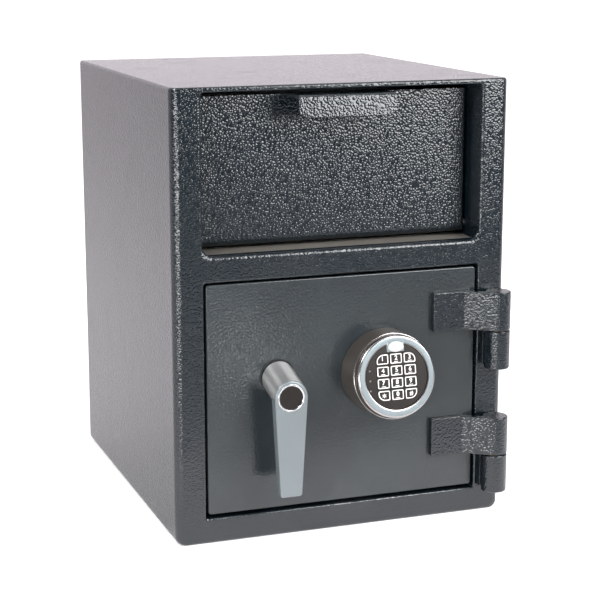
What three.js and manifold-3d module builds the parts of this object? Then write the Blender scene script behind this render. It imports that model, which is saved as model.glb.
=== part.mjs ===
// Drop safe with a tilting deposit hopper above a hinged, lever-locked door.
// Millimetres, +Z up, the front faces -Y, and the origin is the centre of the base.
import * as THREE from 'three';
import { mergeVertices } from 'three/addons/utils/BufferGeometryUtils.js';
import Module from 'manifold-3d';

const wasm = await Module();
wasm.setup();

// Case
const bodyWidth = 350;
const bodyDepth = 380;
const bodyHeight = 450;
const wall = 5;
const sideBend = 9;
const topBend = 2.5;
const bottomBend = 4;
const lowerEdgeRadius = 8;
const upperEdgeRadius = 3;
const backThickness = 5;
const backInset = 1;

// Openings in the front frame
const stileWidth = 30;
const flangeThickness = 4;
const bottomRail = 26;
const doorShare = 0.5266667;
const middleRail = 25.5;
const doorFlangeDepth = 40;
const hopperFlangeDepth = 50;
const doorMouthRadius = 2;
const hopperMouthRadius = 4;
const doorCornerRadius = 3;
const sillCornerRadius = 11;
const sillCornerDepth = 12;
const deepCornerRadius = 3;
const headCornerRadius = 4;

// Floor
const matThickness = 3;
const matMargin = 2;
const anchorSpacing = 150;
const anchorShankRadius = 6;
const anchorHeadRadius = 11;
const anchorHeadHeight = 8;
const anchorWasherRadius = 15;
const anchorWasherThickness = 2.5;

// Hopper
const hopperRecess = 30;
const hopperSideGap = 2;
const hopperTopGap = 6.5;
const hopperBottomGap = 3;
const hopperSheet = 3;
const hopperBottomBend = 9;
const hopperEdgeBend = 5.5;
const hopperReturnDepth = 20;
const sideSheet = 2.2;
const sideTopGap = 3;
const sideStep = 23;
const sideTallAngle = 40;
const sideStepAngle = 58;
const trayAngle = 115;
const trayLip = 2;
const trayStart = 14;
const traySheet = 2.5;
const hopperTravel = 50;
const hopperPinRadius = 4;
const hopperBushWall = 1.7;
const hopperBushFlange = 9;
const hopperBushFlangeThickness = 1.5;
const stopRadius = 5;
const stopReach = 45;
const stopFromTip = 10;
const baffleSheet = 3;
const baffleToothPitch = 17;
const baffleToothDepth = 9;
const baffleClearance = 2;

// Pull on the hopper
const pullWidth = 100;
const pullHeight = 21;
const pullReach = 38;
const pullSheet = 4;
const pullRise = 1.5;
const pullCornerWidth = 12;
const pullCornerHeight = 4.5;

// Door
const doorSideGap = 2.5;
const doorTopGap = 2.5;
const doorBottomGap = 3.5;
const doorRecess = 1.5;
const doorThickness = 8;
const doorEdgeRadius = 1.2;
const panMargin = 8.5;
const panDepth = 54.5;
const panSheet = 2;
const deadBarReach = 19;
const deadBarThickness = 10;
const deadBarLength = 200;
const deadBarClearance = 4;

// Hinges
const hingeInset = 13.5;
const hingeStandOff = 13.5;
const knuckleRadius = 13;
const knuckleHeight = 40;
const hingeFromTop = 63.5;
const hingeFromBottom = 36.5;
const hingeWasherThickness = 1;
const hingeWasherRadius = 10;
const hingePinRadius = 5;
const hingePinReach = 32;
const leafThickness = 7;
const leafStartInset = 81;
const leafBendInset = 48;
const footWidth = 19;
const footInset = 1.5;

// Lever and boltwork
const leverPlace = 72.1;
const lockHeight = 164.4;
const leverNeckRadius = 16.8;
const leverNeckLength = 40.2;
const leverDrop = 11;
const leverArmThickness = 11;
const leverArmBottom = 53.5;
const leverArmEndWidth = 22;
const leverArmEndRadius = 2.5;
const leverPlugRadius = 12.5;
const leverPlugRecess = 4;
const leverBushFlange = 18;
const leverBushFlangeThickness = 1.5;
const leverBushRadius = 10;
const spindleRadius = 7;
const crankRadius = 30;
const leverTravel = 60;
const crankThickness = 6;
const crankHubRadius = 12;
const crankPinRadius = 4;
const spindleReach = 8.5;
const carriageGap = 3;
const carriageSheet = 5;
const carriageWidth = 67;
const carriageMargin = 15;
const carriageEar = 7;
const carriageArmHeight = 20;
const lockingBoltRadius = 9;
const lockingBoltSpacing = 120;
const lockingBoltSetback = 1;
const studRadius = 4;
const studHeadRadius = 8;
const studHeadHeight = 3;
const studSpacing = 144;
const studPlace = 25;

// Lock
const lockWidth = 61;
const lockTall = 85;
const lockThick = 32;
const lockTopAboveAxis = 25.6;
const lockBoltWidth = 12;
const lockBoltThick = 10;
const lockBoltLength = 24;
const lockBoltStandOut = 4;
const lockBoltTravel = 10;
const lockBoltPlace = 16;
const lockBoltLead = 20;

// Keypad
const keypadX = 40.5;
const keypadTilt = 10;
const keypadProud = 40;
const keypadBaseDrop = 3.4;
const housingBaseRadius = 44;
const housingFrontRadius = 42.2;
const housingWall = 4;
const housingHollow = 18;
const ringRadius = 41.25;
const ringFlangeRadius = 42.8;
const ringInnerRadius = 32.8;
const ringDepth = 9;
const tabWidth = 18.2;
const tabInner = 24.7;
const tabThickness = 2.2;
const faceThickness = 4.4;
const faceRecess = 1;
const domeWidth = 16.6;
const domeHeight = 10.6;
const domeRise = 2.4;
const domePlace = 29.6;
const keyWidth = 13.1;
const keyHeight = 10.5;
const keyPitchX = 14.46;
const keyPitchY = 11.93;
const keyCorner = 1.8;
const keyOuterCorner = 7.5;
const keyRise = 0.6;
const keyLength = 3.4;
const lampPlaceX = -28.2;
const lampPlaceY = -2.3;
const lampPitch = 9.8;
const lampRadius = 0.8;
const cablePlaceX = 13.5;
const cablePlaceZ = 31;
const cableRadius = 2;
const cableHoleRadius = 5;

// Clearances
const fitGap = 0.3;
const runGap = 0.5;
const quarterSteps = 4;
const roundSides = 32;
const smallSides = 16;
const ringSides = 44;

// Places worked out from the sizes above
const halfWidth = bodyWidth / 2;
const frontY = -bodyDepth / 2;
const backY = bodyDepth / 2;
const innerX = halfWidth - wall;
const innerTop = bodyHeight - wall;
const openX = halfWidth - stileWidth;
const doorOpenBottom = bottomRail;
const doorOpenTop = bottomRail + bodyHeight * doorShare;
const sillZ = doorOpenTop + middleRail;
const doorFlangeBack = frontY + doorFlangeDepth;
const hopperFlangeBack = frontY + hopperFlangeDepth;
const doorX = openX - doorSideGap;
const leverX = leverPlace - doorX;
const doorBottom = doorOpenBottom + doorBottomGap;
const doorTop = doorOpenTop - doorTopGap;
const doorFront = frontY + doorRecess;
const doorBack = doorFront + doorThickness;
const panX = doorX - panMargin;
const panBottom = doorBottom + panMargin;
const panTop = doorTop - panMargin;
const panBack = doorBack + panDepth;
const carriageHeight = panTop - panBottom - 2 * carriageMargin;
const hingeSplits = [doorTop - hingeFromTop, doorBottom + hingeFromBottom];
const hingeAxisX = halfWidth - hingeInset;
const hingeAxisY = frontY - hingeStandOff;
const leafStart = halfWidth - leafStartInset;
const leafBend = halfWidth - leafBendInset;
const hopperX = openX - hopperSideGap;
const hopperFront = frontY + hopperRecess;
const hopperBottom = sillZ + hopperBottomGap;
const hopperTop = innerTop - hopperTopGap;
const pivotY = hopperFront + hopperBottomBend;
const pivotZ = hopperBottom + hopperBottomBend;
const hopperInnerX = hopperX - hopperSheet;
const sideOuterX = hopperInnerX - fitGap;
const sideInnerX = sideOuterX - sideSheet;
const sideTallRadius = hopperTop - pivotZ - sideTopGap;
const sideLowRadius = sideTallRadius - sideStep;
const trayLength = sideLowRadius - trayLip;

const radians = (degrees) => (degrees * Math.PI) / 180;
const finish = {
  hammertone: [0x43484d, 0.42, 0.35],
  doorPaint: [0x4c5155, 0.38, 0.3],
  innerPaint: [0x2f3337, 0.6, 0.2],
  silver: [0xaab4bc, 0.3, 0.9],
  steel: [0x8f9498, 0.35, 0.95],
  zinc: [0xa9a48f, 0.4, 0.9],
  darkPlastic: [0x2b2725, 0.5, 0],
  housingPlastic: [0x46413e, 0.45, 0.1],
  pearl: [0xe4e4de, 0.3, 0.1],
  rubber: [0x1d1d1e, 0.85, 0],
  matFelt: [0x36393c, 0.95, 0],
  nylon: [0x1b1c1d, 0.5, 0],
  brass: [0xa88b4a, 0.35, 0.9],
};
const safe = new THREE.Group();

function addPiece(name, geometry, [color, roughness, metalness], parent = safe) {
  const material = new THREE.MeshStandardMaterial({ color, roughness, metalness });
  const mesh = new THREE.Mesh(geometry, material);
  mesh.name = name;
  parent.add(mesh);
  return mesh;
}

// Joining and cutting of closed solids
function toSolid(geometry) {
  const bare = geometry.clone();
  bare.deleteAttribute('normal');
  bare.deleteAttribute('uv');
  const merged = mergeVertices(bare, 1e-5);
  const vertProperties = new Float32Array(merged.attributes.position.array);
  const triVerts = new Uint32Array(merged.index.array);
  return new wasm.Manifold(new wasm.Mesh({ numProp: 3, vertProperties, triVerts }));
}

function toGeometry(solid) {
  const mesh = solid.getMesh();
  const geometry = new THREE.BufferGeometry();
  geometry.setAttribute('position', new THREE.BufferAttribute(new Float32Array(mesh.vertProperties), 3));
  geometry.setIndex(new THREE.BufferAttribute(new Uint32Array(mesh.triVerts), 1));
  geometry.computeVertexNormals();
  return geometry;
}

function combine(how, first, others) {
  let solid = toSolid(first);
  for (const other of others) solid = solid[how](toSolid(other));
  return toGeometry(solid);
}
const join = (first, ...others) => combine('add', first, others);
const cut = (first, ...others) => combine('subtract', first, others);
const common = (first, ...others) => combine('intersect', first, others);

// Plain solids, placed by their limits
function block(x0, x1, y0, y1, z0, z1) {
  const geometry = new THREE.BoxGeometry(x1 - x0, y1 - y0, z1 - z0);
  return geometry.translate((x0 + x1) / 2, (y0 + y1) / 2, (z0 + z1) / 2);
}

function rodZ(radius, x, y, z0, z1, sides = smallSides) {
  const geometry = new THREE.CylinderGeometry(radius, radius, z1 - z0, sides);
  return geometry.rotateX(Math.PI / 2).translate(x, y, (z0 + z1) / 2);
}

function rodY(radius, x, z, y0, y1, sides = smallSides) {
  const geometry = new THREE.CylinderGeometry(radius, radius, y1 - y0, sides);
  return geometry.translate(x, (y0 + y1) / 2, z);
}

function rodX(radius, y, z, x0, x1, sides = smallSides) {
  const geometry = new THREE.CylinderGeometry(radius, radius, x1 - x0, sides);
  return geometry.rotateZ(Math.PI / 2).translate((x0 + x1) / 2, y, z);
}

// An outline whose corners [x, y, radius] are rounded by arcs
function outline(corners) {
  const shape = new THREE.Shape();
  const count = corners.length;
  corners.forEach(([x, y, radius = 0], i) => {
    const here = new THREE.Vector2(x, y);
    if (radius === 0) {
      if (i === 0) shape.moveTo(x, y);
      else shape.lineTo(x, y);
      return;
    }
    const [px, py] = corners[(i + count - 1) % count];
    const [nx, ny] = corners[(i + 1) % count];
    const before = new THREE.Vector2(px, py).sub(here).normalize();
    const after = new THREE.Vector2(nx, ny).sub(here).normalize();
    const half = Math.acos(THREE.MathUtils.clamp(before.dot(after), -1, 1)) / 2;
    const middle = before.clone().add(after).normalize();
    const centre = here.clone().addScaledVector(middle, radius / Math.sin(half));
    const start = here.clone().addScaledVector(before, radius / Math.tan(half));
    const end = here.clone().addScaledVector(after, radius / Math.tan(half));
    const startAngle = Math.atan2(start.y - centre.y, start.x - centre.x);
    const endAngle = Math.atan2(end.y - centre.y, end.x - centre.x);
    const clockwise = before.cross(after) > 0;
    if (i === 0) shape.moveTo(start.x, start.y);
    else shape.lineTo(start.x, start.y);
    shape.absarc(centre.x, centre.y, radius, startAngle, endAngle, clockwise);
  });
  return shape;
}

const rectangle = (x0, x1, y0, y1, radius = 0) => outline([
  [x0, y0, radius],
  [x1, y0, radius],
  [x1, y1, radius],
  [x0, y1, radius],
]);

function extrude(shape, depth, curveSegments = quarterSteps) {
  return new THREE.ExtrudeGeometry(shape, { depth, curveSegments, bevelEnabled: false });
}

// An outline drawn in X and Z, running from y0 to y1
function prismY(shape, y0, y1, curveSegments) {
  return extrude(shape, y1 - y0, curveSegments).rotateX(Math.PI / 2).translate(0, y1, 0);
}

// An outline drawn in Y and Z, running from x0 to x1
function prismX(shape, x0, x1, curveSegments) {
  const turn = new THREE.Matrix4().makeBasis(
    new THREE.Vector3(0, 1, 0),
    new THREE.Vector3(0, 0, 1),
    new THREE.Vector3(1, 0, 0),
  );
  return extrude(shape, x1 - x0, curveSegments).applyMatrix4(turn).translate(x0, 0, 0);
}

// An outline drawn in X and Y, running from z0 to z1
function prismZ(shape, z0, z1, curveSegments) {
  return extrude(shape, z1 - z0, curveSegments).translate(0, 0, z0);
}

// A solid through convex rings of points, with as many points in each ring
function loft(rings) {
  const count = rings[0].length;
  const positions = rings.flat().flatMap((point) => point.toArray());
  const index = [];
  for (let r = 0; r < rings.length - 1; r += 1) {
    for (let i = 0; i < count; i += 1) {
      const next = (i + 1) % count;
      const low = r * count;
      const high = low + count;
      index.push(low + i, low + next, high + next, low + i, high + next, high + i);
    }
  }
  const last = (rings.length - 1) * count;
  for (let i = 1; i < count - 1; i += 1) {
    index.push(0, i + 1, i);
    index.push(last, last + i, last + i + 1);
  }
  const geometry = new THREE.BufferGeometry();
  geometry.setAttribute('position', new THREE.Float32BufferAttribute(positions, 3));
  geometry.setIndex(index);
  return geometry;
}

// How far a round edge of this radius stands in from its flat side, at a depth below its end face
function edgeInset(radius, depth) {
  if (depth >= radius) return 0;
  return radius - Math.sqrt(radius ** 2 - (radius - depth) ** 2);
}

// Depths at which a loft with round edges of these radii takes its rings
function edgeDepths(radii) {
  const depths = new Set();
  for (const radius of radii) {
    for (let i = 0; i <= quarterSteps; i += 1) {
      depths.add(Number((radius * (1 - Math.cos((i / quarterSteps) * (Math.PI / 2)))).toFixed(4)));
    }
  }
  return [...depths].sort((a, b) => a - b);
}

// A ring in the XZ plane with its own radius at the lower and at the upper corners
function roundRing(halfX, z0, z1, lowRadius, highRadius, y) {
  const ring = [];
  const corners = [
    [halfX - lowRadius, z0 + lowRadius, lowRadius, -90],
    [halfX - highRadius, z1 - highRadius, highRadius, 0],
    [-halfX + highRadius, z1 - highRadius, highRadius, 90],
    [-halfX + lowRadius, z0 + lowRadius, lowRadius, 180],
  ];
  for (const [x, z, radius, start] of corners) {
    for (let i = 0; i <= quarterSteps; i += 1) {
      const angle = radians(start + (90 * i) / quarterSteps);
      ring.push(new THREE.Vector3(x + radius * Math.cos(angle), y, z + radius * Math.sin(angle)));
    }
  }
  return ring.reverse();
}

// The same closed solid with its faces pointing out
function faceOut(geometry) {
  const solid = mergeVertices(geometry.clone().deleteAttribute('normal').deleteAttribute('uv'), 1e-5);
  const { array: point } = solid.attributes.position;
  const { array: index } = solid.index;
  const corner = (i) => new THREE.Vector3().fromArray(point, 3 * index[i]);
  let volume = 0;
  for (let i = 0; i < index.length; i += 3) {
    volume += corner(i).dot(corner(i + 1).cross(corner(i + 2)));
  }
  if (volume < 0) solid.index.array.reverse();
  return solid;
}

// A round solid about +Z from a closed profile of [radius, height] points
function turned(profile, sides) {
  const points = [...profile, profile[0]].map(([radius, height]) => new THREE.Vector2(radius, height));
  return faceOut(new THREE.LatheGeometry(points, sides).rotateX(Math.PI / 2));
}

// Case: one folded shell with its front frame and the flanges round both openings
function openingCutter(z0, z1, lowRadius, highRadius, mouthRadius, headMouth, depth) {
  const ringAt = (y, t, low = lowRadius) => {
    const inset = edgeInset(mouthRadius, t);
    return roundRing(openX + inset, z0 - inset, z1 + edgeInset(headMouth, t), low, highRadius, y);
  };
  const rings = [ringAt(frontY - wall, 0)];
  for (const t of edgeDepths([mouthRadius, headMouth])) rings.push(ringAt(frontY + t, t));
  rings.push(ringAt(frontY + sillCornerDepth, mouthRadius, deepCornerRadius));
  rings.push(ringAt(frontY + depth + wall, mouthRadius, deepCornerRadius));
  return loft(rings);
}

function makeShell() {
  const rings = edgeDepths([sideBend, topBend, bottomBend]).map((t) => roundRing(
    halfWidth - edgeInset(sideBend, t),
    edgeInset(bottomBend, t),
    bodyHeight - edgeInset(topBend, t),
    lowerEdgeRadius,
    upperEdgeRadius,
    frontY + t,
  ));
  rings.push(roundRing(halfWidth, 0, bodyHeight, lowerEdgeRadius, upperEdgeRadius, backY));
  const flangeX = openX + flangeThickness;
  const flangeStart = frontY + wall / 2;
  const doorFrame = block(
    -flangeX,
    flangeX,
    flangeStart,
    doorFlangeBack,
    doorOpenBottom - flangeThickness,
    doorOpenTop + flangeThickness,
  );
  const hopperFrame = block(
    -flangeX,
    flangeX,
    flangeStart,
    hopperFlangeBack,
    sillZ - flangeThickness,
    innerTop + wall / 2,
  );
  const cavity = block(-innerX, innerX, frontY + wall, backY + wall, wall, innerTop);
  const doorCutter = openingCutter(
    doorOpenBottom,
    doorOpenTop,
    doorCornerRadius,
    doorCornerRadius,
    doorMouthRadius,
    doorMouthRadius,
    doorFlangeDepth,
  );
  const hopperCutter = openingCutter(
    sillZ,
    innerTop,
    sillCornerRadius,
    headCornerRadius,
    hopperMouthRadius,
    topBend / 2,
    hopperFlangeDepth,
  );
  const bushHole = rodX(bushRadius + fitGap, pivotY, pivotZ, -halfWidth + wall, halfWidth - wall);
  const anchorHoles = anchorPlaces.map((x) => rodZ(anchorShankRadius + runGap, x, 0, -wall, 2 * wall));
  const frame = join(cut(loft(rings), cavity), doorFrame, hopperFrame);
  return cut(frame, doorCutter, hopperCutter, bushHole, ...anchorHoles);
}

const bushRadius = hopperPinRadius + fitGap + hopperBushWall;
const anchorPlaces = [-anchorSpacing / 2, anchorSpacing / 2];
const backPanelFront = backY - backInset - backThickness;
const matTop = wall + matThickness;

addPiece('body_shell', makeShell(), finish.hammertone);
addPiece(
  'back_panel',
  block(-innerX, innerX, backPanelFront, backY - backInset, wall, innerTop),
  finish.hammertone,
);
addPiece(
  'floor_mat',
  cut(
    block(
      matMargin - innerX,
      innerX - matMargin,
      doorFlangeBack + matMargin,
      backPanelFront - matMargin,
      wall,
      matTop,
    ),
    ...anchorPlaces.map((x) => rodZ(anchorShankRadius + runGap, x, 0, 0, matTop + wall)),
  ),
  finish.matFelt,
);
anchorPlaces.forEach((x, i) => {
  const washerTop = matTop + anchorWasherThickness;
  const bolt = join(
    rodZ(anchorShankRadius, x, 0, runGap, washerTop),
    rodZ(anchorWasherRadius, x, 0, matTop, washerTop),
    rodZ(anchorHeadRadius, x, 0, washerTop, washerTop + anchorHeadHeight, 6),
  );
  addPiece(['anchor_bolt_left', 'anchor_bolt_right'][i], bolt, finish.zinc);
});

// Hopper: it tilts about two pins at the centre of its bottom bend
const trayOut = new THREE.Vector2(Math.sin(radians(trayAngle)), Math.cos(radians(trayAngle)));
const trayUnder = new THREE.Vector2(trayOut.y, -trayOut.x);
const pivot = new THREE.Vector2(pivotY, pivotZ);
const trayPoint = (along, under) => {
  const point = pivot.clone().addScaledVector(trayOut, along).addScaledVector(trayUnder, under);
  return [point.x, point.y];
};

function makeHopperFace() {
  const backOfReturn = hopperFront + hopperReturnDepth;
  const layer = (inset, frontRadius, bendRadius) => {
    const x = hopperX - inset;
    const y = hopperFront + inset;
    const z = hopperBottom + inset;
    const top = hopperTop + inset;
    const back = backOfReturn + inset;
    const section = outline([[y, top], [y, z, bendRadius], [back, z], [back, top]]);
    const plan = outline([[-x, y, frontRadius], [x, y, frontRadius], [x, back], [-x, back]]);
    return common(prismX(section, -x, x), prismZ(plan, z, top));
  };
  const outer = layer(0, hopperEdgeBend, hopperBottomBend);
  const inner = layer(hopperSheet, hopperEdgeBend - hopperSheet, hopperBottomBend - hopperSheet);
  return cut(outer, inner, rodX(hopperPinRadius + runGap, pivotY, pivotZ, -openX, openX));
}

function makeHopperSide() {
  const front = hopperFront + hopperEdgeBend;
  const nose = hopperBottomBend - hopperSheet - fitGap;
  const noseTop = pivotZ - Math.sqrt(nose ** 2 - (pivotY - front) ** 2);
  const lean = Math.asin((pivotY - front) / sideTallRadius);
  const foot = radians(90 - trayAngle) - traySheet / sideLowRadius;
  const shape = new THREE.Shape();
  shape.moveTo(front, noseTop);
  shape.lineTo(front, pivotZ + sideTallRadius * Math.cos(lean));
  shape.absarc(pivotY, pivotZ, sideTallRadius, Math.PI / 2 + lean, radians(90 - sideTallAngle), true);
  shape.absarc(pivotY, pivotZ, sideLowRadius, radians(90 - sideStepAngle), foot, true);
  shape.lineTo(hopperFront + hopperReturnDepth + fitGap, pivotZ - nose);
  shape.lineTo(pivotY, pivotZ - nose);
  return shape;
}

function makePull() {
  const top = hopperTop + pullRise;
  const front = hopperFront - pullReach;
  const halfPull = pullWidth / 2;
  const section = outline([
    [hopperFront, top],
    [front, top, pullSheet],
    [front, top - pullHeight],
    [front + pullSheet, top - pullHeight],
    [front + pullSheet, top - pullSheet],
    [hopperFront, top - pullSheet],
  ]);
  const low = top - pullHeight;
  const corners = [-1, 1].map((side) => prismY(
    outline([
      [side * (halfPull + 1), low - 1],
      [side * (halfPull - pullCornerWidth), low - 1],
      [side * (halfPull - pullCornerWidth), low],
      [side * (halfPull - pullCornerWidth / 3), low + pullCornerHeight / 4],
      [side * halfPull, low + pullCornerHeight],
      [side * (halfPull + 1), low + pullCornerHeight],
    ]),
    front - 1,
    front + pullSheet + 1,
  ));
  return cut(prismX(section, -halfPull, halfPull), ...corners);
}

const sideShape = makeHopperSide();
const pinTip = openX + flangeThickness + hopperBushFlangeThickness + runGap;
const stopPoint = trayPoint(trayLength - stopFromTip, traySheet + fitGap + stopRadius);
addPiece('hopper_face', makeHopperFace(), finish.hammertone);
addPiece('hopper_pull', makePull(), finish.hammertone);
addPiece(
  'hopper_tray',
  prismX(
    outline([
      trayPoint(trayStart, 0),
      trayPoint(trayLength, 0),
      trayPoint(trayLength, traySheet),
      trayPoint(trayStart, traySheet),
    ]),
    -sideInnerX,
    sideInnerX,
  ),
  finish.innerPaint,
);
for (const [label, side] of [['left', -1], ['right', 1]]) {
  const span = (inner, outer) => (side > 0 ? [inner, outer] : [-outer, -inner]);
  addPiece(`hopper_side_${label}`, prismX(sideShape, ...span(sideInnerX, sideOuterX)), finish.innerPaint);
  addPiece(
    `hopper_pin_${label}`,
    rodX(hopperPinRadius, pivotY, pivotZ, ...span(sideOuterX, pinTip)),
    finish.steel,
  );
  const outerFace = openX + flangeThickness;
  addPiece(
    `hopper_bush_${label}`,
    cut(
      join(
        rodX(bushRadius, pivotY, pivotZ, ...span(openX, outerFace)),
        rodX(hopperBushFlange, pivotY, pivotZ, ...span(outerFace, outerFace + hopperBushFlangeThickness)),
      ),
      rodX(hopperPinRadius + fitGap, pivotY, pivotZ, ...span(openX - wall, outerFace + wall)),
    ),
    finish.nylon,
  );
  addPiece(
    `hopper_stop_${label}`,
    rodX(stopRadius, ...stopPoint, ...span(innerX - stopReach, innerX)),
    finish.rubber,
  );
}

// Baffle: a saw-toothed plate that meets the end of the tray when the hopper is open
function makeBaffle() {
  const openAngle = radians(trayAngle - hopperTravel);
  const back = pivotY + trayLength * Math.sin(openAngle);
  const low = pivotZ + trayLength * Math.cos(openAngle) + baffleClearance;
  const half = sideInnerX - runGap * 2;
  const teeth = Math.max(2, Math.round((2 * half) / baffleToothPitch));
  const pitch = (2 * half) / teeth;
  const shape = new THREE.Shape();
  shape.moveTo(-half, innerTop);
  for (let i = 0; i < teeth; i += 1) {
    shape.lineTo(-half + i * pitch, low + baffleToothDepth);
    shape.lineTo(-half + (i + 0.5) * pitch, low);
  }
  shape.lineTo(half, low + baffleToothDepth);
  shape.lineTo(half, innerTop);
  return prismY(shape, back - baffleSheet, back);
}
addPiece('rear_baffle', makeBaffle(), finish.innerPaint);

// Door: plate, pan and dead bar
const doorMiddle = (doorBottom + doorTop) / 2;
const cableX = keypadX + cablePlaceX;
const cableZ = lockHeight + cablePlaceZ;
const throwLength = 2 * crankRadius * Math.sin(radians(leverTravel / 2));
const boltY = doorFlangeBack + lockingBoltSetback + lockingBoltRadius;
const boltHeights = [doorMiddle - lockingBoltSpacing / 2, doorMiddle + lockingBoltSpacing / 2];

function makeDoorPlate() {
  const rings = edgeDepths([doorEdgeRadius]).map((t) => roundRing(
    doorX - edgeInset(doorEdgeRadius, t),
    doorBottom + edgeInset(doorEdgeRadius, t),
    doorTop - edgeInset(doorEdgeRadius, t),
    doorCornerRadius,
    doorCornerRadius,
    doorFront + t,
  ));
  rings.push(roundRing(doorX, doorBottom, doorTop, doorCornerRadius, doorCornerRadius, doorBack));
  return cut(
    loft(rings),
    rodY(leverBushRadius + fitGap, leverX, lockHeight, doorFront - 1, doorBack + 1),
    rodY(cableHoleRadius, cableX, cableZ, doorFront - 1, doorBack + 1),
  );
}

function makePan() {
  const inner = panX - panSheet;
  return cut(
    block(-panX, panX, doorBack, panBack, panBottom, panTop),
    block(-inner, inner, doorBack - 1, panBack - panSheet, panBottom + panSheet, panTop - panSheet),
    ...boltHeights.map((z) => rodX(lockingBoltRadius + runGap, boltY, z, -panX - 1, 1 - inner)),
  );
}

addPiece('door_plate', makeDoorPlate(), finish.doorPaint);
addPiece('door_pan', makePan(), finish.innerPaint);
addPiece(
  'dead_bar',
  block(
    panX,
    panX + deadBarReach,
    doorFlangeBack + deadBarClearance,
    doorFlangeBack + deadBarClearance + deadBarThickness,
    doorMiddle - deadBarLength / 2,
    doorMiddle + deadBarLength / 2,
  ),
  finish.steel,
);

// Hinges: each leaf lies on the door, then cranks forward to its knuckle
function makeLeaf(low, high) {
  const centre = new THREE.Vector2(hingeAxisX, hingeAxisY);
  const bend = new THREE.Vector2(leafBend, doorFront - leafThickness);
  const away = bend.clone().sub(centre);
  const tangentAngle = away.angle() + Math.acos(knuckleRadius / away.length());
  const outward = new THREE.Vector2(Math.cos(tangentAngle), Math.sin(tangentAngle));
  const tangent = centre.clone().addScaledVector(outward, knuckleRadius);
  const inside = centre.clone().addScaledVector(outward, knuckleRadius - leafThickness);
  const along = new THREE.Vector2(-outward.y, outward.x);
  const run = (doorFront - inside.y) / along.y;
  const heel = inside.clone().addScaledVector(along, run);
  const section = outline([
    [leafStart, doorFront],
    [leafStart, bend.y, 1.5],
    [bend.x, bend.y, leafThickness],
    [tangent.x, tangent.y],
    [inside.x, inside.y],
    [heel.x, heel.y, leafThickness / 2],
  ]);
  return join(prismZ(section, low, high), rodZ(knuckleRadius, hingeAxisX, hingeAxisY, low, high, roundSides));
}

hingeSplits.forEach((split, i) => {
  const hinge = new THREE.Group();
  hinge.position.z = split;
  safe.add(hinge);
  const label = ['upper', 'lower'][i];
  const seat = hingeWasherThickness / 2;
  const boreRadius = hingePinRadius + fitGap;
  const onAxis = (radius, low, high, sides) => rodZ(radius, hingeAxisX, hingeAxisY, low, high, sides);
  const foot = block(
    hingeAxisX - footWidth / 2,
    halfWidth - sideBend - footInset,
    hingeAxisY + hingePinRadius,
    frontY,
    footInset - knuckleHeight,
    -seat - footInset,
  );
  const fixedKnuckle = cut(
    join(onAxis(knuckleRadius, -knuckleHeight, -seat, roundSides), foot),
    onAxis(boreRadius, -hingePinReach, 1),
  );
  const leaf = cut(makeLeaf(seat, knuckleHeight), onAxis(boreRadius, -1, hingePinReach + runGap));
  addPiece(`hinge_knuckle_${label}`, fixedKnuckle, finish.hammertone, hinge);
  addPiece(`hinge_leaf_${label}`, leaf, finish.hammertone, hinge);
  addPiece(
    `hinge_pin_${label}`,
    onAxis(hingePinRadius, -hingePinReach, hingePinReach),
    finish.steel,
    hinge,
  );
  addPiece(
    `hinge_washer_${label}`,
    cut(onAxis(hingeWasherRadius, -seat, seat), onAxis(boreRadius, -1, 1)),
    finish.brass,
    hinge,
  );
});

// Lever, spindle and crank
const neckBack = doorFront - leverBushFlangeThickness - fitGap;
const leverFront = neckBack - leverNeckLength;
const leverEyeZ = lockHeight - leverDrop;
const spindleEnd = doorBack + spindleReach;
const crankBack = spindleEnd + crankThickness;
const carriageFront = crankBack + carriageGap;
const carriageBack = carriageFront + carriageSheet;

function circleRing(x, z, radius, y) {
  return Array.from({ length: roundSides }, (_, i) => {
    const angle = (-2 * Math.PI * i) / roundSides;
    return new THREE.Vector3(x + radius * Math.cos(angle), y, z + radius * Math.sin(angle));
  });
}

function makeLever() {
  const neck = loft([
    circleRing(leverX, leverEyeZ, leverNeckRadius, leverFront),
    circleRing(leverX, lockHeight, leverNeckRadius, neckBack),
  ]);
  const end = leverArmEndWidth / 2;
  const arm = prismY(
    outline([
      [leverX - leverNeckRadius, leverEyeZ],
      [leverX - end, leverArmBottom, leverArmEndRadius],
      [leverX + end, leverArmBottom, leverArmEndRadius],
      [leverX + leverNeckRadius, leverEyeZ],
    ]),
    leverFront,
    leverFront + leverArmThickness,
  );
  const recess = rodY(
    leverPlugRadius + fitGap,
    leverX,
    leverEyeZ,
    leverFront - 1,
    leverFront + leverPlugRecess,
    roundSides,
  );
  return cut(join(neck, arm), recess);
}

const turnedBack = radians(leverTravel / 2);
const crankPin = [leverX + crankRadius * Math.sin(turnedBack), lockHeight - crankRadius * Math.cos(turnedBack)];
const crankPinLow = lockHeight - crankRadius;
function makeCrank() {
  const [x, z] = crankPin;
  const side = new THREE.Vector2(z - lockHeight, leverX - x).normalize();
  const edge = (cx, cz, reach) => [cx + side.x * reach, cz + side.y * reach];
  const eye = crankPinRadius * 2;
  const web = outline([
    edge(leverX, lockHeight, crankHubRadius),
    edge(x, z, eye),
    edge(x, z, -eye),
    edge(leverX, lockHeight, -crankHubRadius),
  ]);
  return join(
    prismY(web, spindleEnd, crankBack),
    rodY(crankHubRadius, leverX, lockHeight, spindleEnd, crankBack),
    rodY(eye, x, z, spindleEnd, crankBack),
    rodY(crankPinRadius, x, z, spindleEnd, carriageBack + runGap),
  );
}

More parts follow.
